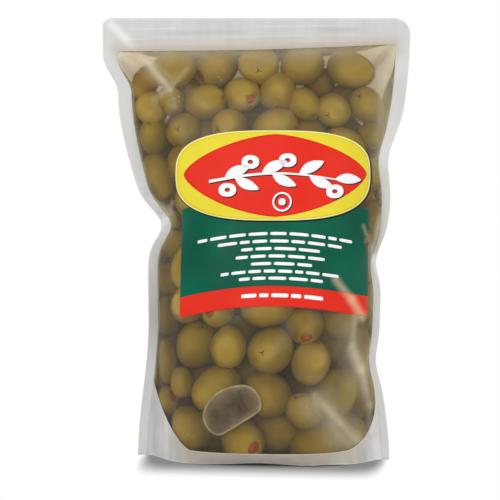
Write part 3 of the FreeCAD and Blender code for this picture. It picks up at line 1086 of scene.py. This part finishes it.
def into_bag(own):
    """Turns points to their olives' axes, and moves them to their olives' middles.

    What would still poke out is pressed flat against the film, a gap inside it, as a soft olive
    is in a tight bag.
    """
    x = own[..., 0, None] * first_axis[:, None, None]
    y = own[..., 1, None] * second_axis[:, None, None]
    z = own[..., 2, None] * axis[:, None, None]
    x, y, z = np.moveaxis(centre[:, None, None] + x + y + z, -1, 0)
    floor, _ = gusset_floor(x, y, np.clip(z, 0.0, 60.0))
    z = np.clip(z, floor + FILM_GAP, top_line(np.clip(across(x, z), -1.0, 1.0)) - SEAM_GAP)
    x = np.clip(x, left_seam(z) + SEAM_GAP, right_seam(z) - SEAM_GAP)
    front, _ = stand_off(x, z, -1, 1.0)
    back, _ = stand_off(x, z, 1, 1.0)
    front = front - air_hollow(x, z)
    y = np.clip(y, np.minimum(FILM_GAP - front, 0.0), np.maximum(back - FILM_GAP, 0.0))
    return turned(x, y, z)


def many_grids(grids, **values):
    """One shape from many grids of the same size: an array of grid, row, column and xyz."""
    count, rows, columns = grids.shape[:3]
    firsts = (np.arange(count) * rows * columns)[:, None, None]
    return grids.reshape(-1, 3), (grid_faces(rows, columns) + firsts).reshape(-1, 4), values


skins = into_bag(own)
print(f"the olives reach from {skins[..., 2].min():.1f} to {skins[..., 2].max():.1f} mm high")

# %% [markdown]
# ### Olive skin
# A green olive cured in brine is smooth, waxy and a little see-through, from amber to pale beige,
# with drifting greener and browner patches a few millimetres across. The punched cut shows as
# three dark lines that meet. They are drawn from the olive's own coordinates, kept on the mesh
# as an attribute, so that they stay on the skin: the distance from three spokes is the radius
# times the sine of one and a half times the angle. Those coordinates are in millimetres, so the
# sizes here are too.

# %% Olive material
olive_mat, tree = new_material("green olive skin, brined")
own_place = node(tree, "Attribute", attribute_name="own").outputs["Vector"]
own_tone = node(tree, "Attribute", attribute_name="tone").outputs["Fac"]
different = node(tree, "Math", {0: own_tone, 1: 40.0}, operation="MULTIPLY")
grown = {"Vector": own_place, "W": different, "Scale": 1.0 / 9.0, "Detail": 3.0, "Roughness": 0.55}
patches = node(tree, "TexNoise", grown, noise_dimensions="4D")
ripeness = wandering(tree, own_tone, patches, 0.3, 0.7, 0.22)
greens = [(0.0, "#A87B16"), (0.3, "#B8A02A"), (0.55, "#C4AF38"), (0.8, "#D3BD50"), (1.0, "#E4CE7C")]
skin = node(tree, "ValToRGB", {"Fac": ripeness}, greens)

parts = node(tree, "SeparateXYZ", {"Vector": own_place}).outputs
angle = node(tree, "Math", {0: parts["Y"], 1: parts["X"]}, operation="ARCTAN2")
three = node(tree, "Math", {0: angle, 1: 1.5}, operation="MULTIPLY")
spoke = node(tree, "Math", {0: three}, operation="SINE")
spoke = node(tree, "Math", {0: spoke}, operation="ABSOLUTE")
flat_place = node(tree, "VectorMath", {0: own_place, 1: (1.0, 1.0, 0.0)}, operation="MULTIPLY")
radius = node(tree, "VectorMath", {0: flat_place}, operation="LENGTH").outputs["Value"]
aside = node(tree, "Math", {0: spoke, 1: radius}, operation="MULTIPLY")
limits = {"From Min": 0.2, "From Max": 0.55, "To Min": 1.0, "To Max": 0.0}
on_spoke = node(tree, "MapRange", {"Value": aside, **limits})
limits = {"From Min": 1.0, "From Max": 2.4, "To Min": 1.0, "To Max": 0.0}
near_tip = node(tree, "MapRange", {"Value": radius, **limits})
cut_end = node(tree, "Math", {0: parts["Z"], 1: 0.0}, operation="LESS_THAN")
cut = node(tree, "Math", {0: on_spoke, 1: near_tip}, operation="MULTIPLY")
for factor in (cut_end, 0.9):
    cut = node(tree, "Math", {0: cut, 1: factor}, operation="MULTIPLY")
skin_colour = node(tree, "Mix", {0: cut, 6: skin, 7: colour("#3C2608")}, data_type="RGBA").outputs[2]
pores = node(tree, "TexNoise", {"Vector": own_place, "Scale": 1.0 / 0.8, "Detail": 2.0})
dimpled = node(tree, "Bump", {"Height": pores, "Distance": 0.08 * MM, "Strength": 0.25})
waxy = {"Roughness": 0.42, "Specular IOR Level": 0.2, "Normal": dimpled}
olive_skin = node(tree, "BsdfPrincipled", {"Base Color": skin_colour, **waxy})
finish_material(olive_mat, {"Surface": olive_skin})

own_values = {"own": own.reshape(-1, 3), "tone": np.repeat(tone, own.shape[1] * own.shape[2])}
olives = put_mesh("olives", many_grids(skins, **own_values), olive_mat)

# %% [markdown]
# ## Pimento
# The stuffing is a strip of red pimento paste, cut square and pushed in, so that its end shows in
# the hole as a soft-cornered orange-red plug just below the rim. It is matt and grainy, as a cut
# paste is. Only the end shows, so the rest of the strip isn't made.

# %% Pimento material and plugs
pimento_mat, tree = new_material("pimento paste, cut")
place = node(tree, "TexCoord").outputs["Object"]
flecks = node(tree, "TexNoise", {"Vector": place, "Scale": 1.0 / (1.6 * MM), "Detail": 3.0})
reds = node(tree, "ValToRGB", {"Fac": flecks}, [(0.3, "#C4541E"), (0.7, "#E67E38")])
rough_cut = node(tree, "Bump", {"Height": flecks, "Distance": 0.2 * MM, "Strength": 0.4})
paste = node(tree, "BsdfPrincipled", {"Base Color": reds, "Roughness": 0.45, "Normal": rough_cut})
finish_material(pimento_mat, {"Surface": paste})

# the plug from the middle of its domed end out to its edge, down the side and back in
PLUG_WIDE = np.array([0.0, 0.5, 0.8, 0.93, 0.9, 0.0])
PLUG_DEEP = np.array([0.0, -0.05, -0.25, -0.7, -3.2, -3.4])


def pimento_plugs():
    """A squared-off disc in each hole: the radius is the hole's, less 8% of the cosine of 4t."""
    turn = np.linspace(0.0, 2.0 * math.pi, 17)
    rim_z = long_half * np.sqrt(1.0 - (hole * RIM_WIDER / round_half) ** 2)
    sunk = rim_z - 0.5 - 0.6 * np.sin(roll)
    r = hole[:, None, None] * PLUG_WIDE[:, None] * (1.0 - 0.08 * np.cos(4.0 * turn))
    z = sunk[:, None, None] + PLUG_DEEP[:, None]
    return xyz(r * np.cos(turn), r * np.sin(turn), z)


pimentos = put_mesh("pimentos", many_grids(into_bag(pimento_plugs())), pimento_mat)

# %% [markdown]
# ## Small bubbles
# A few bubbles of air, about a millimetre across or less, cling to the film between the olives.
# Particles could scatter them, but they gather in known places, so each cluster is named. They
# are plain low balls, so tiny that only their glint shows, and that glint is painted: a pale
# colour where they face the viewer, clear towards their edges.

# %% Bubbles
bubble_mat, tree = new_material("air bubble in brine")
facing = node(tree, "LayerWeight", {"Blend": 0.35}).outputs["Facing"]
dim = node(tree, "BsdfTransparent", {"Color": colour("#E8E0C8")})
# painted glint: a pale colour in place of the light that a bubble reflects
glint = node(tree, "BsdfPrincipled", {"Base Color": colour("#F4F0E2"), "Roughness": 0.15})
bubble_mix = node(tree, "MixShader", {0: facing, 1: glint, 2: dim})
finish_material(bubble_mat, {"Surface": bubble_mix})

# x and z of a cluster, its spread and how many bubbles it has
BUBBLE_CLUSTERS = [
    (-43.0, 194.0, 4.0, 5),
    (-19.0, 192.0, 5.0, 9),
    (-38.0, 178.0, 3.0, 5),
    (0.0, 193.0, 3.0, 3),
    (28.0, 27.0, 6.0, 9),
    (34.0, 24.0, 4.0, 6),
    (10.0, 49.0, 5.0, 3),
    (46.0, 40.0, 6.0, 4),
    (-30.0, 10.0, 9.0, 4),
]
BUBBLE_UNDER = 0.25


def small_balls():
    """Low balls of 8 steps by 5 rings, just behind the film, sizes cubed to favour small."""
    counts = [cluster[3] for cluster in BUBBLE_CLUSTERS]
    at_x, at_z, spread = np.repeat(np.array(BUBBLE_CLUSTERS)[:, :3], counts, axis=0).T
    count = len(at_x)
    x = at_x + spread * rng.normal(0.0, 0.7, count)
    z = at_z + spread * rng.normal(0.0, 0.5, count)
    r = 0.22 + 0.4 * rng.uniform(0.0, 1.0, count) ** 3
    middle, _ = wall(x, z, -1, -BUBBLE_UNDER)
    middle[:, 1] += r
    polar = np.linspace(0.0, math.pi, 6)[:, None]
    turn = np.linspace(0.0, 2.0 * math.pi, 9)
    ball = xyz(np.sin(polar) * np.cos(turn), np.sin(polar) * np.sin(turn), np.cos(polar))
    return middle[:, None, None] + r[:, None, None, None] * ball


bubbles = put_mesh("air_bubbles", many_grids(small_balls()), bubble_mat)

# %% [markdown]
# ### The air pocket
# Where air lies against the film, the brine's curved edge round the pocket catches the light and
# shows as a pale rim. That is painted: a pale matt veil, more or less see-through, thick at the
# rim as a painted reflection and thin in the middle, where the dark olives behind show through.

# %% Painted reflection over the hollow
pocket_sheen_mat, tree = new_material("painted sheen over the air pocket")
place = node(tree, "TexCoord").outputs["Object"]
mist = node(tree, "Attribute", attribute_name="mist").outputs["Fac"]
sheen_blotches = node(tree, "TexNoise", {"Vector": place, "Scale": 1.0 / (5.0 * MM), "Detail": 3.0})
sheen_veil = wandering(tree, mist, sheen_blotches, 0.3, 0.7, 0.25)
# painted reflection: grey where the veil is thin, pale where it is thick
pale = node(tree, "ValToRGB", {"Fac": mist}, [(0.3, "#8E8776"), (0.7, "#C2B6A6"), (1.0, "#DED4B0")])
sheen_tone = node(tree, "BsdfPrincipled", {"Base Color": pale, "Roughness": 0.5})
bare = node(tree, "BsdfTransparent", {"Color": colour("#FBFAF8")})
pocket_sheen_mix = node(tree, "MixShader", {0: sheen_veil, 1: bare, 2: sheen_tone})
finish_material(pocket_sheen_mat, {"Surface": pocket_sheen_mix})

POCKET_SHEEN_HALF = 9.6
# how far the two faces of the painted veil lie behind the film
POCKET_SHEEN_OUTER = 0.08
POCKET_SHEEN_INNER = 0.13


def pocket_sheen_patch(rings=16, steps=72):
    """A thin sheet over the bean: rings at growing distance round its bowed middle line.

    The point of the line that a ring's step belongs to follows the cosine of the step's angle
    from the line's direction, cut off at the line's ends.
    """
    x1, z1, x2, z2 = BUBBLE_ENDS
    along = math.atan2(z2 - z1, x2 - x1)
    turn = along + np.linspace(0.0, 2.0 * math.pi, steps + 1)
    t = 0.5 + 0.5 * np.clip(1.6 * np.cos(turn - along), -1.0, 1.0)
    bow = BUBBLE_BOW * np.sin(t * math.pi)
    share = np.linspace(0.0, 1.0, rings)[:, None]
    x = x1 + t * (x2 - x1) - bow + POCKET_SHEEN_HALF * share * np.cos(turn)
    z = z1 + t * (z2 - z1) + bow + POCKET_SHEEN_HALF * share * np.sin(turn)
    outer, _ = wall(x, z, -1, -POCKET_SHEEN_OUTER)
    inner, _ = wall(x, z, -1, -POCKET_SHEEN_INNER)
    # the painted veil thickens towards the rim and is brightest in a thin ring at its edge
    return sheet(outer, inner, "disc", mist=0.22 + 0.45 * share**2 + 0.4 * bell(share, 0.96, 0.04))


pocket_sheen = put_mesh("air_pocket_painted_sheen", pocket_sheen_patch(), pocket_sheen_mat)

# %% [markdown]
# ## The print
# The front carries a printed label: a green panel with a red band along its foot, and over it a
# yellow badge with a red oval, a white olive sprig and a small ring. It could be painted into the
# film's own material, but its edges would be soft. It is ink on film, so every shape is a thin
# sheet that follows the wall, each a few hundredths of a millimetre above the one before. Shapes
# are drawn flat, then laid on the wall. The foot of the label is arched, because the film is
# pulled down at both sides.

# %% Ink materials


def ink(name, code, light_code):
    """Gravure ink under gloss: flat and strong, slightly cloudy, and paler at creases, partly as painted
    highlight.
    """
    material, tree = new_material(name)
    place = node(tree, "TexCoord").outputs["Object"]
    white = node(tree, "Attribute", attribute_name="white").outputs["Fac"]
    cloud = node(tree, "TexNoise", {"Vector": place, "Scale": 1.0 / (22.0 * MM), "Detail": 2.0})
    two = node(tree, "ValToRGB", {"Fac": cloud}, [(0.35, code), (0.65, light_code)])
    # paler where the film is creased: partly its clouding, partly a painted highlight
    limits = {"From Min": 0.08, "From Max": 0.8, "To Min": 0.0, "To Max": 0.62}
    creased = node(tree, "MapRange", {"Value": white, **limits})
    paled = node(tree, "Mix", {0: creased, 6: two, 7: colour("#F3D9B0")}, data_type="RGBA")
    fine = node(tree, "TexNoise", {"Vector": place, "Scale": 1.0 / (9.0 * MM), "Detail": 2.0})
    slack = node(tree, "Bump", {"Height": fine, "Distance": 0.3 * MM, "Strength": 0.4})
    gloss = {"Roughness": 0.3, "Specular IOR Level": 0.1, "Normal": slack}
    printed = node(tree, "BsdfPrincipled", {"Base Color": paled.outputs[2], **gloss})
    finish_material(material, {"Surface": printed})
    return material


# each ink's two near tones, and the name of a slot, kept with its prints
INKS = {
    "green": ("#00523F", "#006048", "green_print"),
    "yellow": ("#E4D232", "#ECDA40", "yellow_print"),
    "pale yellow": ("#FFF6A0", "#FFFAB4", "yellow_print"),
    "red": ("#E02A1C", "#E63020", "red_print"),
    "white": ("#F2F1F4", "#FBFAFB", "white_print"),
    "black": ("#14201C", "#1C2824", "black_print"),
}
inks = {
    name: ink("gravure ink on film, " + name, code, light_code)
    for name, (code, light_code, _) in INKS.items()
}

# %% Laying flat shapes on the wall
LABEL_X = 9.5
LABEL_HALF = 45.7
LABEL_ARCH = 7.2
INK_THICK = 0.03
INK_CLEAR = 0.12
INK_STEP = 0.05
prints = []


def lay(name, shapes, level, ink_name):
    """One piece of thin sheets on the front wall, a step higher for each level.

    A shape is a grid of x, a grid of z and its kind: plain, disc or ring.
    """
    lift = INK_CLEAR + INK_STEP * level
    sheets = []
    for x, z, kind in shapes:
        outer, white = wall(x, z, -1, lift + INK_THICK)
        inner, _ = wall(x, z, -1, lift)
        sheets.append(sheet(outer, inner, kind, white=white))
    piece = put_mesh(name, joined(sheets), inks[ink_name])
    prints.append((piece, INKS[ink_name][2]))


def arch(x):
    """How far the label's lines drop at x: nothing in its middle and all the arch at its sides."""
    return LABEL_ARCH * ((x - LABEL_X) / LABEL_HALF) ** 2


def panel(low, high, rows, columns, notch=0.0):
    """A panel between two arched lines; its right side can be nicked in by a bell at 116 mm."""
    u, v = np.meshgrid(np.linspace(-1.0, 1.0, columns), np.linspace(0.0, 1.0, rows))
    z = low + (high - low) * v
    half = LABEL_HALF - notch * bell(z, 116.0, 3.0) * (u > 0.0)
    x = LABEL_X + half * u
    return x, z - arch(x), "plain"


def oval(x, z, half_x, half_z, power=2.0, rings=24, steps=128, inner=0.0):
    """A superellipse: |cos|^(2/p) and |sin|^(2/p), with their signs, out from a middle.

    inner is the share of the way out at which it starts, which leaves a ring.
    """
    turn = np.linspace(0.0, 2.0 * math.pi, steps + 1)
    c = np.sign(np.cos(turn)) * np.abs(np.cos(turn)) ** (2.0 / power)
    s = np.sign(np.sin(turn)) * np.abs(np.sin(turn)) ** (2.0 / power)
    out = np.linspace(inner, 1.0, rings)[:, None]
    return x + half_x * out * c, z + half_z * out * s, "ring" if inner else "disc"


# %% Green panel and red band
BAND_LOW = 79.2
BAND_HIGH = 89.1
PANEL_LOW = 88.9
PANEL_HIGH = 132.0
PANEL_NOTCH = 2.4
lay("print_green_panel", [panel(PANEL_LOW, PANEL_HIGH, 60, 110, PANEL_NOTCH)], 0, "green")
lay("print_red_band", [panel(BAND_LOW, BAND_HIGH, 16, 110)], 1, "red")

# %% [markdown]
# ### The badge
# A yellow badge with rounded ends has a dark shadow on one side and a pale rim, which makes it
# stand off the panel. A red oval fills most of it. Both are superellipses: a power over 2 fills
# out the corners, and one under 2 makes the ends pointed.

# %% Badge and oval
BADGE_PLACE = (8.2, 142.0)
BADGE_HALF = (47.6, 21.6)
BADGE_POWER = 2.9
OVAL_PLACE = (9.3, 142.0)
OVAL_HALF = (44.6, 19.8)
OVAL_POWER = 1.55


def badge(grow, shift):
    """The badge's outline, grown all round and shifted down and to the right."""
    x, z = BADGE_PLACE
    half_x, half_z = BADGE_HALF
    return oval(x + shift, z - shift, half_x + grow, half_z + grow, BADGE_POWER)


lay("print_badge_shadow", [badge(0.35, 0.45)], 2, "black")
lay("print_badge_rim", [badge(0.0, 0.0)], 3, "pale yellow")
lay("print_badge_yellow", [badge(-0.55, 0.0)], 4, "yellow")
lay("print_red_oval", [oval(*OVAL_PLACE, *OVAL_HALF, OVAL_POWER)], 5, "red")

# %% [markdown]
# ### The sprig
# The white figure on the oval is an olive sprig: a bowed stem, leaves in pairs and a few fruits.
# The same shapes, moved down and to the right in black, make its drop shadow.

# %% Sprig, ring and shadows
STEM_LEFT = -23.0
STEM_RIGHT = 43.0
STEM_LOW = 139.0
STEM_BOW = 4.0
PAIR_PLACES = (-15.5, 2.5, 20.5)
# of both leaves of a pair: how far along the stem, turn in degrees, length and width
LEAF_PAIR = ((0.0, 36.0, 13.5, 5.4), (5.0, -36.0, 13.0, 5.0))
# x of each fruit, and how far it is above the stem
FRUITS = ((-14.0, -5.6), (-3.0, 6.2), (15.0, 6.4), (38.0, -5.8))
RING_PLACE = (12.5, 129.4)
DROP_SHADOW = 0.5


def stem_height(x):
    """The stem bows up in its middle, as a half sine between its ends."""
    return STEM_LOW + STEM_BOW * np.sin(math.pi * (x - STEM_LEFT) / (STEM_RIGHT - STEM_LEFT))


def stem():
    """A band along the stem's line, 1.5 mm wide at the foot and 0.6 mm at the tip."""
    t, v = np.meshgrid(np.linspace(0.0, 1.0, 60), np.linspace(-1.0, 1.0, 5))
    x = STEM_LEFT + (STEM_RIGHT - STEM_LEFT) * t
    return x, stem_height(x) + v * (0.75 - 0.45 * t), "plain"


def leaf(x, turn, length, width):
    """A leaf from the stem at x: its half width is a sine of the way along, to the power 0.8.

    Its middle line bends back towards the stem's direction with the square of the way along.
    """
    t, v = np.meshgrid(np.linspace(0.0, 1.0, 26), np.linspace(-1.0, 1.0, 7))
    along = length * t
    side = width / 2.0 * np.sin(math.pi * t) ** 0.8 * v - np.sign(turn) * 0.16 * length * t**2
    c = math.cos(math.radians(turn))
    s = math.sin(math.radians(turn))
    return x + along * c - side * s, stem_height(x) + along * s + side * c, "plain"


def sprig(shift):
    """Stem, paired leaves and fruits, all moved down and right by the shift."""
    parts = [stem()]
    for x in PAIR_PLACES:
        parts += [leaf(x + along, *size) for along, *size in LEAF_PAIR]
    parts.append(leaf(STEM_RIGHT - 5.0, 6.0, 13.0, 5.0))
    for x, rise in FRUITS:
        parts.append(oval(x, stem_height(x) + rise, 4.3, 3.3, 2.2, 6, 40, 0.3))
    return [(x + shift, z - shift, kind) for x, z, kind in parts]


def ring_mark(shift):
    """A ring with a dot in it, like the end of a stuffed olive."""
    x = RING_PLACE[0] + shift
    z = RING_PLACE[1] - shift
    return [oval(x, z, 4.7, 4.7, 2.0, 4, 48, 0.8), oval(x, z, 1.7, 1.7, 2.6, 4, 24)]


lay("print_sprig_shadow", sprig(DROP_SHADOW) + ring_mark(DROP_SHADOW), 6, "black")
lay("print_sprig", sprig(0.0) + ring_mark(0.0), 7, "white")

# %% [markdown]
# ### The small print
# The maker's lines of small print become plain white dashes, as long as words, on the same
# arched lines. Their lengths come from a seeded draw, so they are the same each time.

# %% Dashes in place of small print
# height above the floor in the label's middle, left end and right end of each line
SMALL_LINES = [
    (114.2, -28.0, 47.0),
    (110.6, -18.0, 42.0),
    (107.0, -6.5, 31.5),
    (103.4, -9.0, 34.0),
    (99.8, -1.5, 28.0),
    (96.2, -16.0, 41.0),
    (92.8, -7.0, 33.5),
]
BAND_LINE = (84.6, -5.5, 34.0)
DASH_GAP = 1.3


def dashes(line, high):
    """Round-ended bars 4 to 11 mm long that fill a line between its two ends."""
    z, left, right = line
    lengths = rng.uniform(4.0, 11.0, 16)
    count = int(np.searchsorted(np.cumsum(lengths + DASH_GAP), right - left)) + 1
    lengths = lengths[:count] * ((right - left - DASH_GAP * (count - 1)) / lengths[:count].sum())
    starts = left + np.concatenate([[0.0], np.cumsum(lengths + DASH_GAP)[:-1]])
    bars = []
    for start, length in zip(starts, lengths):
        x, flat, kind = oval(start + length / 2.0, z, length / 2.0, high / 2.0, 6.0, 5, 32)
        bars.append((x, flat - arch(x), kind))
    return bars


small_print = [bar for line in SMALL_LINES for bar in dashes(line, 1.5)]
lay("print_small_lines", small_print, 1, "white")
lay("print_band_line", dashes(BAND_LINE, 1.9), 2, "white")

# %% [markdown]
# ## Joining the pieces to the frame
# The bag has no moving part, so every piece rides on the one body. The film bag takes the place
# of the CAD solid, which is hidden.

# %% Ride on the body, and hide the CAD solid
finishes = [(piece, "film") for piece in (film_bag, seals, *skirts)]
finishes += [(piece, "brine") for piece in (brine, bubbles, pocket_sheen)]
finishes += [(olives, "olive"), (pimentos, "pimento"), *prints]
for piece, slot in finishes:
    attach(piece, "root")
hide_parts("pouch")
print(len(finishes), "pieces ride on root")

# %% [markdown]
# ## Floor, light and camera
# The bag stands on a white sweep. Near it the floor is matt paper and keeps the soft shadow, and
# to the camera, in reflections and through glass that paper is grey, a painted shadow that
# deepens the real one.
# Further out it fades to plain white, as does the world behind. More light would make it white
# too, but would bleach the bag, so only the camera, reflections and what shows through glass get
# this white.

# %% Floor
FLOOR_HALF = 3.0
FLOOR_DROP = 0.0001
# half the size of the area that keeps its shadow and is painted grey as shadow, in metres
SHADE_ACROSS = 0.063
SHADE_DEEP = 0.07


def seen_white(tree):
    """1 for what the camera sees straight, in a reflection or through glass, and else 0."""
    path = node(tree, "LightPath").outputs
    seen = node(tree, "Math", {0: path["Is Camera Ray"], 1: path["Is Glossy Ray"]}, operation="MAXIMUM")
    return node(tree, "Math", {0: seen, 1: path["Is Transmission Ray"]}, operation="MAXIMUM")


floor_mat, tree = new_material("paper sweep, painted shadow near the bag")
place = node(tree, "TexCoord").outputs["Object"]
footprint = {"Location": (-0.004, -0.008, 0.0), "Rotation": (0.0, 0.0, FOOT_TURN)}
under = node(tree, "Mapping", {"Vector": place, **footprint})
parts = node(tree, "SeparateXYZ", {"Vector": under}).outputs
aside = node(tree, "Math", {0: parts["X"], 1: 1.0 / SHADE_ACROSS}, operation="MULTIPLY")
aside = node(tree, "Math", {0: aside}, operation="ABSOLUTE")
aside = node(tree, "Math", {0: aside, 1: 8.0}, operation="POWER")
ahead = node(tree, "Math", {0: parts["Y"], 1: 1.0 / SHADE_DEEP}, operation="MULTIPLY")
both = node(tree, "CombineXYZ", {"X": aside, "Y": ahead})
away = node(tree, "VectorMath", {0: both}, operation="LENGTH").outputs["Value"]
limits = {"From Min": 0.4, "From Max": 0.95}
fade = node(tree, "MapRange", {"Value": away, **limits}, interpolation_type="SMOOTHSTEP")
seen = seen_white(tree)
blankness = node(tree, "Math", {0: seen, 1: fade}, operation="MULTIPLY")
# painted shadow: near the bag the paper is grey to the camera, and white to the light it passes on
paper_painted_shadow = node(tree, "Mix", {0: seen, 6: colour("#F2F2F2"), 7: colour("#A2A2A2")}, data_type="RGBA")
paper = node(tree, "BsdfDiffuse", {"Color": paper_painted_shadow.outputs[2]})
blank = node(tree, "Emission", {"Color": colour("#FFFFFF"), "Strength": 1.0})
floor_mix = node(tree, "MixShader", {0: blankness, 1: paper, 2: blank})
finish_material(floor_mat, {"Surface": floor_mix})

corners = [(x * FLOOR_HALF, y * FLOOR_HALF, -FLOOR_DROP) for x, y in ((-1, -1), (1, -1), (1, 1), (-1, 1))]
floor_mesh = bpy.data.meshes.new("floor")
floor_mesh.from_pydata(corners, [], [(0, 1, 2, 3)])
floor_mesh.materials.append(floor_mat)
floor = bpy.data.objects.new("floor", floor_mesh)
bpy.context.scene.collection.objects.link(floor)

# %% World and lamps
WORLD_LIGHT = 0.72
world = bpy.data.worlds.new("white studio")
bpy.context.scene.world = world
world.use_nodes = True
tree = world.node_tree
tree.nodes.clear()
strength = node(tree, "MapRange", {"Value": seen_white(tree), "To Min": WORLD_LIGHT, "To Max": 1.0})
sky = node(tree, "Background", {"Color": colour("#FFFFFF"), "Strength": strength})
node(tree, "OutputWorld", {"Surface": sky})


def softbox(name, place, size, watts):
    """A square area lamp aimed at the middle of the bag."""
    lamp = bpy.data.lights.new(name, "AREA")
    lamp.size = size
    lamp.energy = watts
    holder = bpy.data.objects.new(name, lamp)
    holder.location = place
    aim = Vector((0.0, 0.0, 0.11)) - holder.location
    holder.rotation_euler = aim.to_track_quat("-Z", "Y").to_euler()
    bpy.context.scene.collection.objects.link(holder)
    print(f"{name}: {watts} W from {aim.length:.2f} m")


softbox("key", (-0.5, -1.35, 0.42), 1.3, 7.8)
softbox("fill", (0.9, -0.9, 0.15), 1.2, 3.2)

# %% Camera
CAMERA_AWAY = 1.0
CAMERA_TILT = math.radians(5.0)
CAMERA_AIM = (-0.0032, 0.1038)
camera_data = bpy.data.cameras.new("camera")
camera_data.lens = 145.2
camera_data.sensor_width = 36.0
camera = bpy.data.objects.new("camera", camera_data)
back = CAMERA_AWAY * math.cos(CAMERA_TILT)
up = CAMERA_AWAY * math.sin(CAMERA_TILT)
camera.location = (CAMERA_AIM[0], -back, CAMERA_AIM[1] + up)
camera.rotation_euler = (math.pi / 2.0 - CAMERA_TILT, 0.0, 0.0)
bpy.context.scene.collection.objects.link(camera)
bpy.context.scene.camera = camera
bpy.context.scene.view_settings.view_transform = "Standard"
print(f"camera: {back:.2f} m in front and {up:.2f} m above its aim")
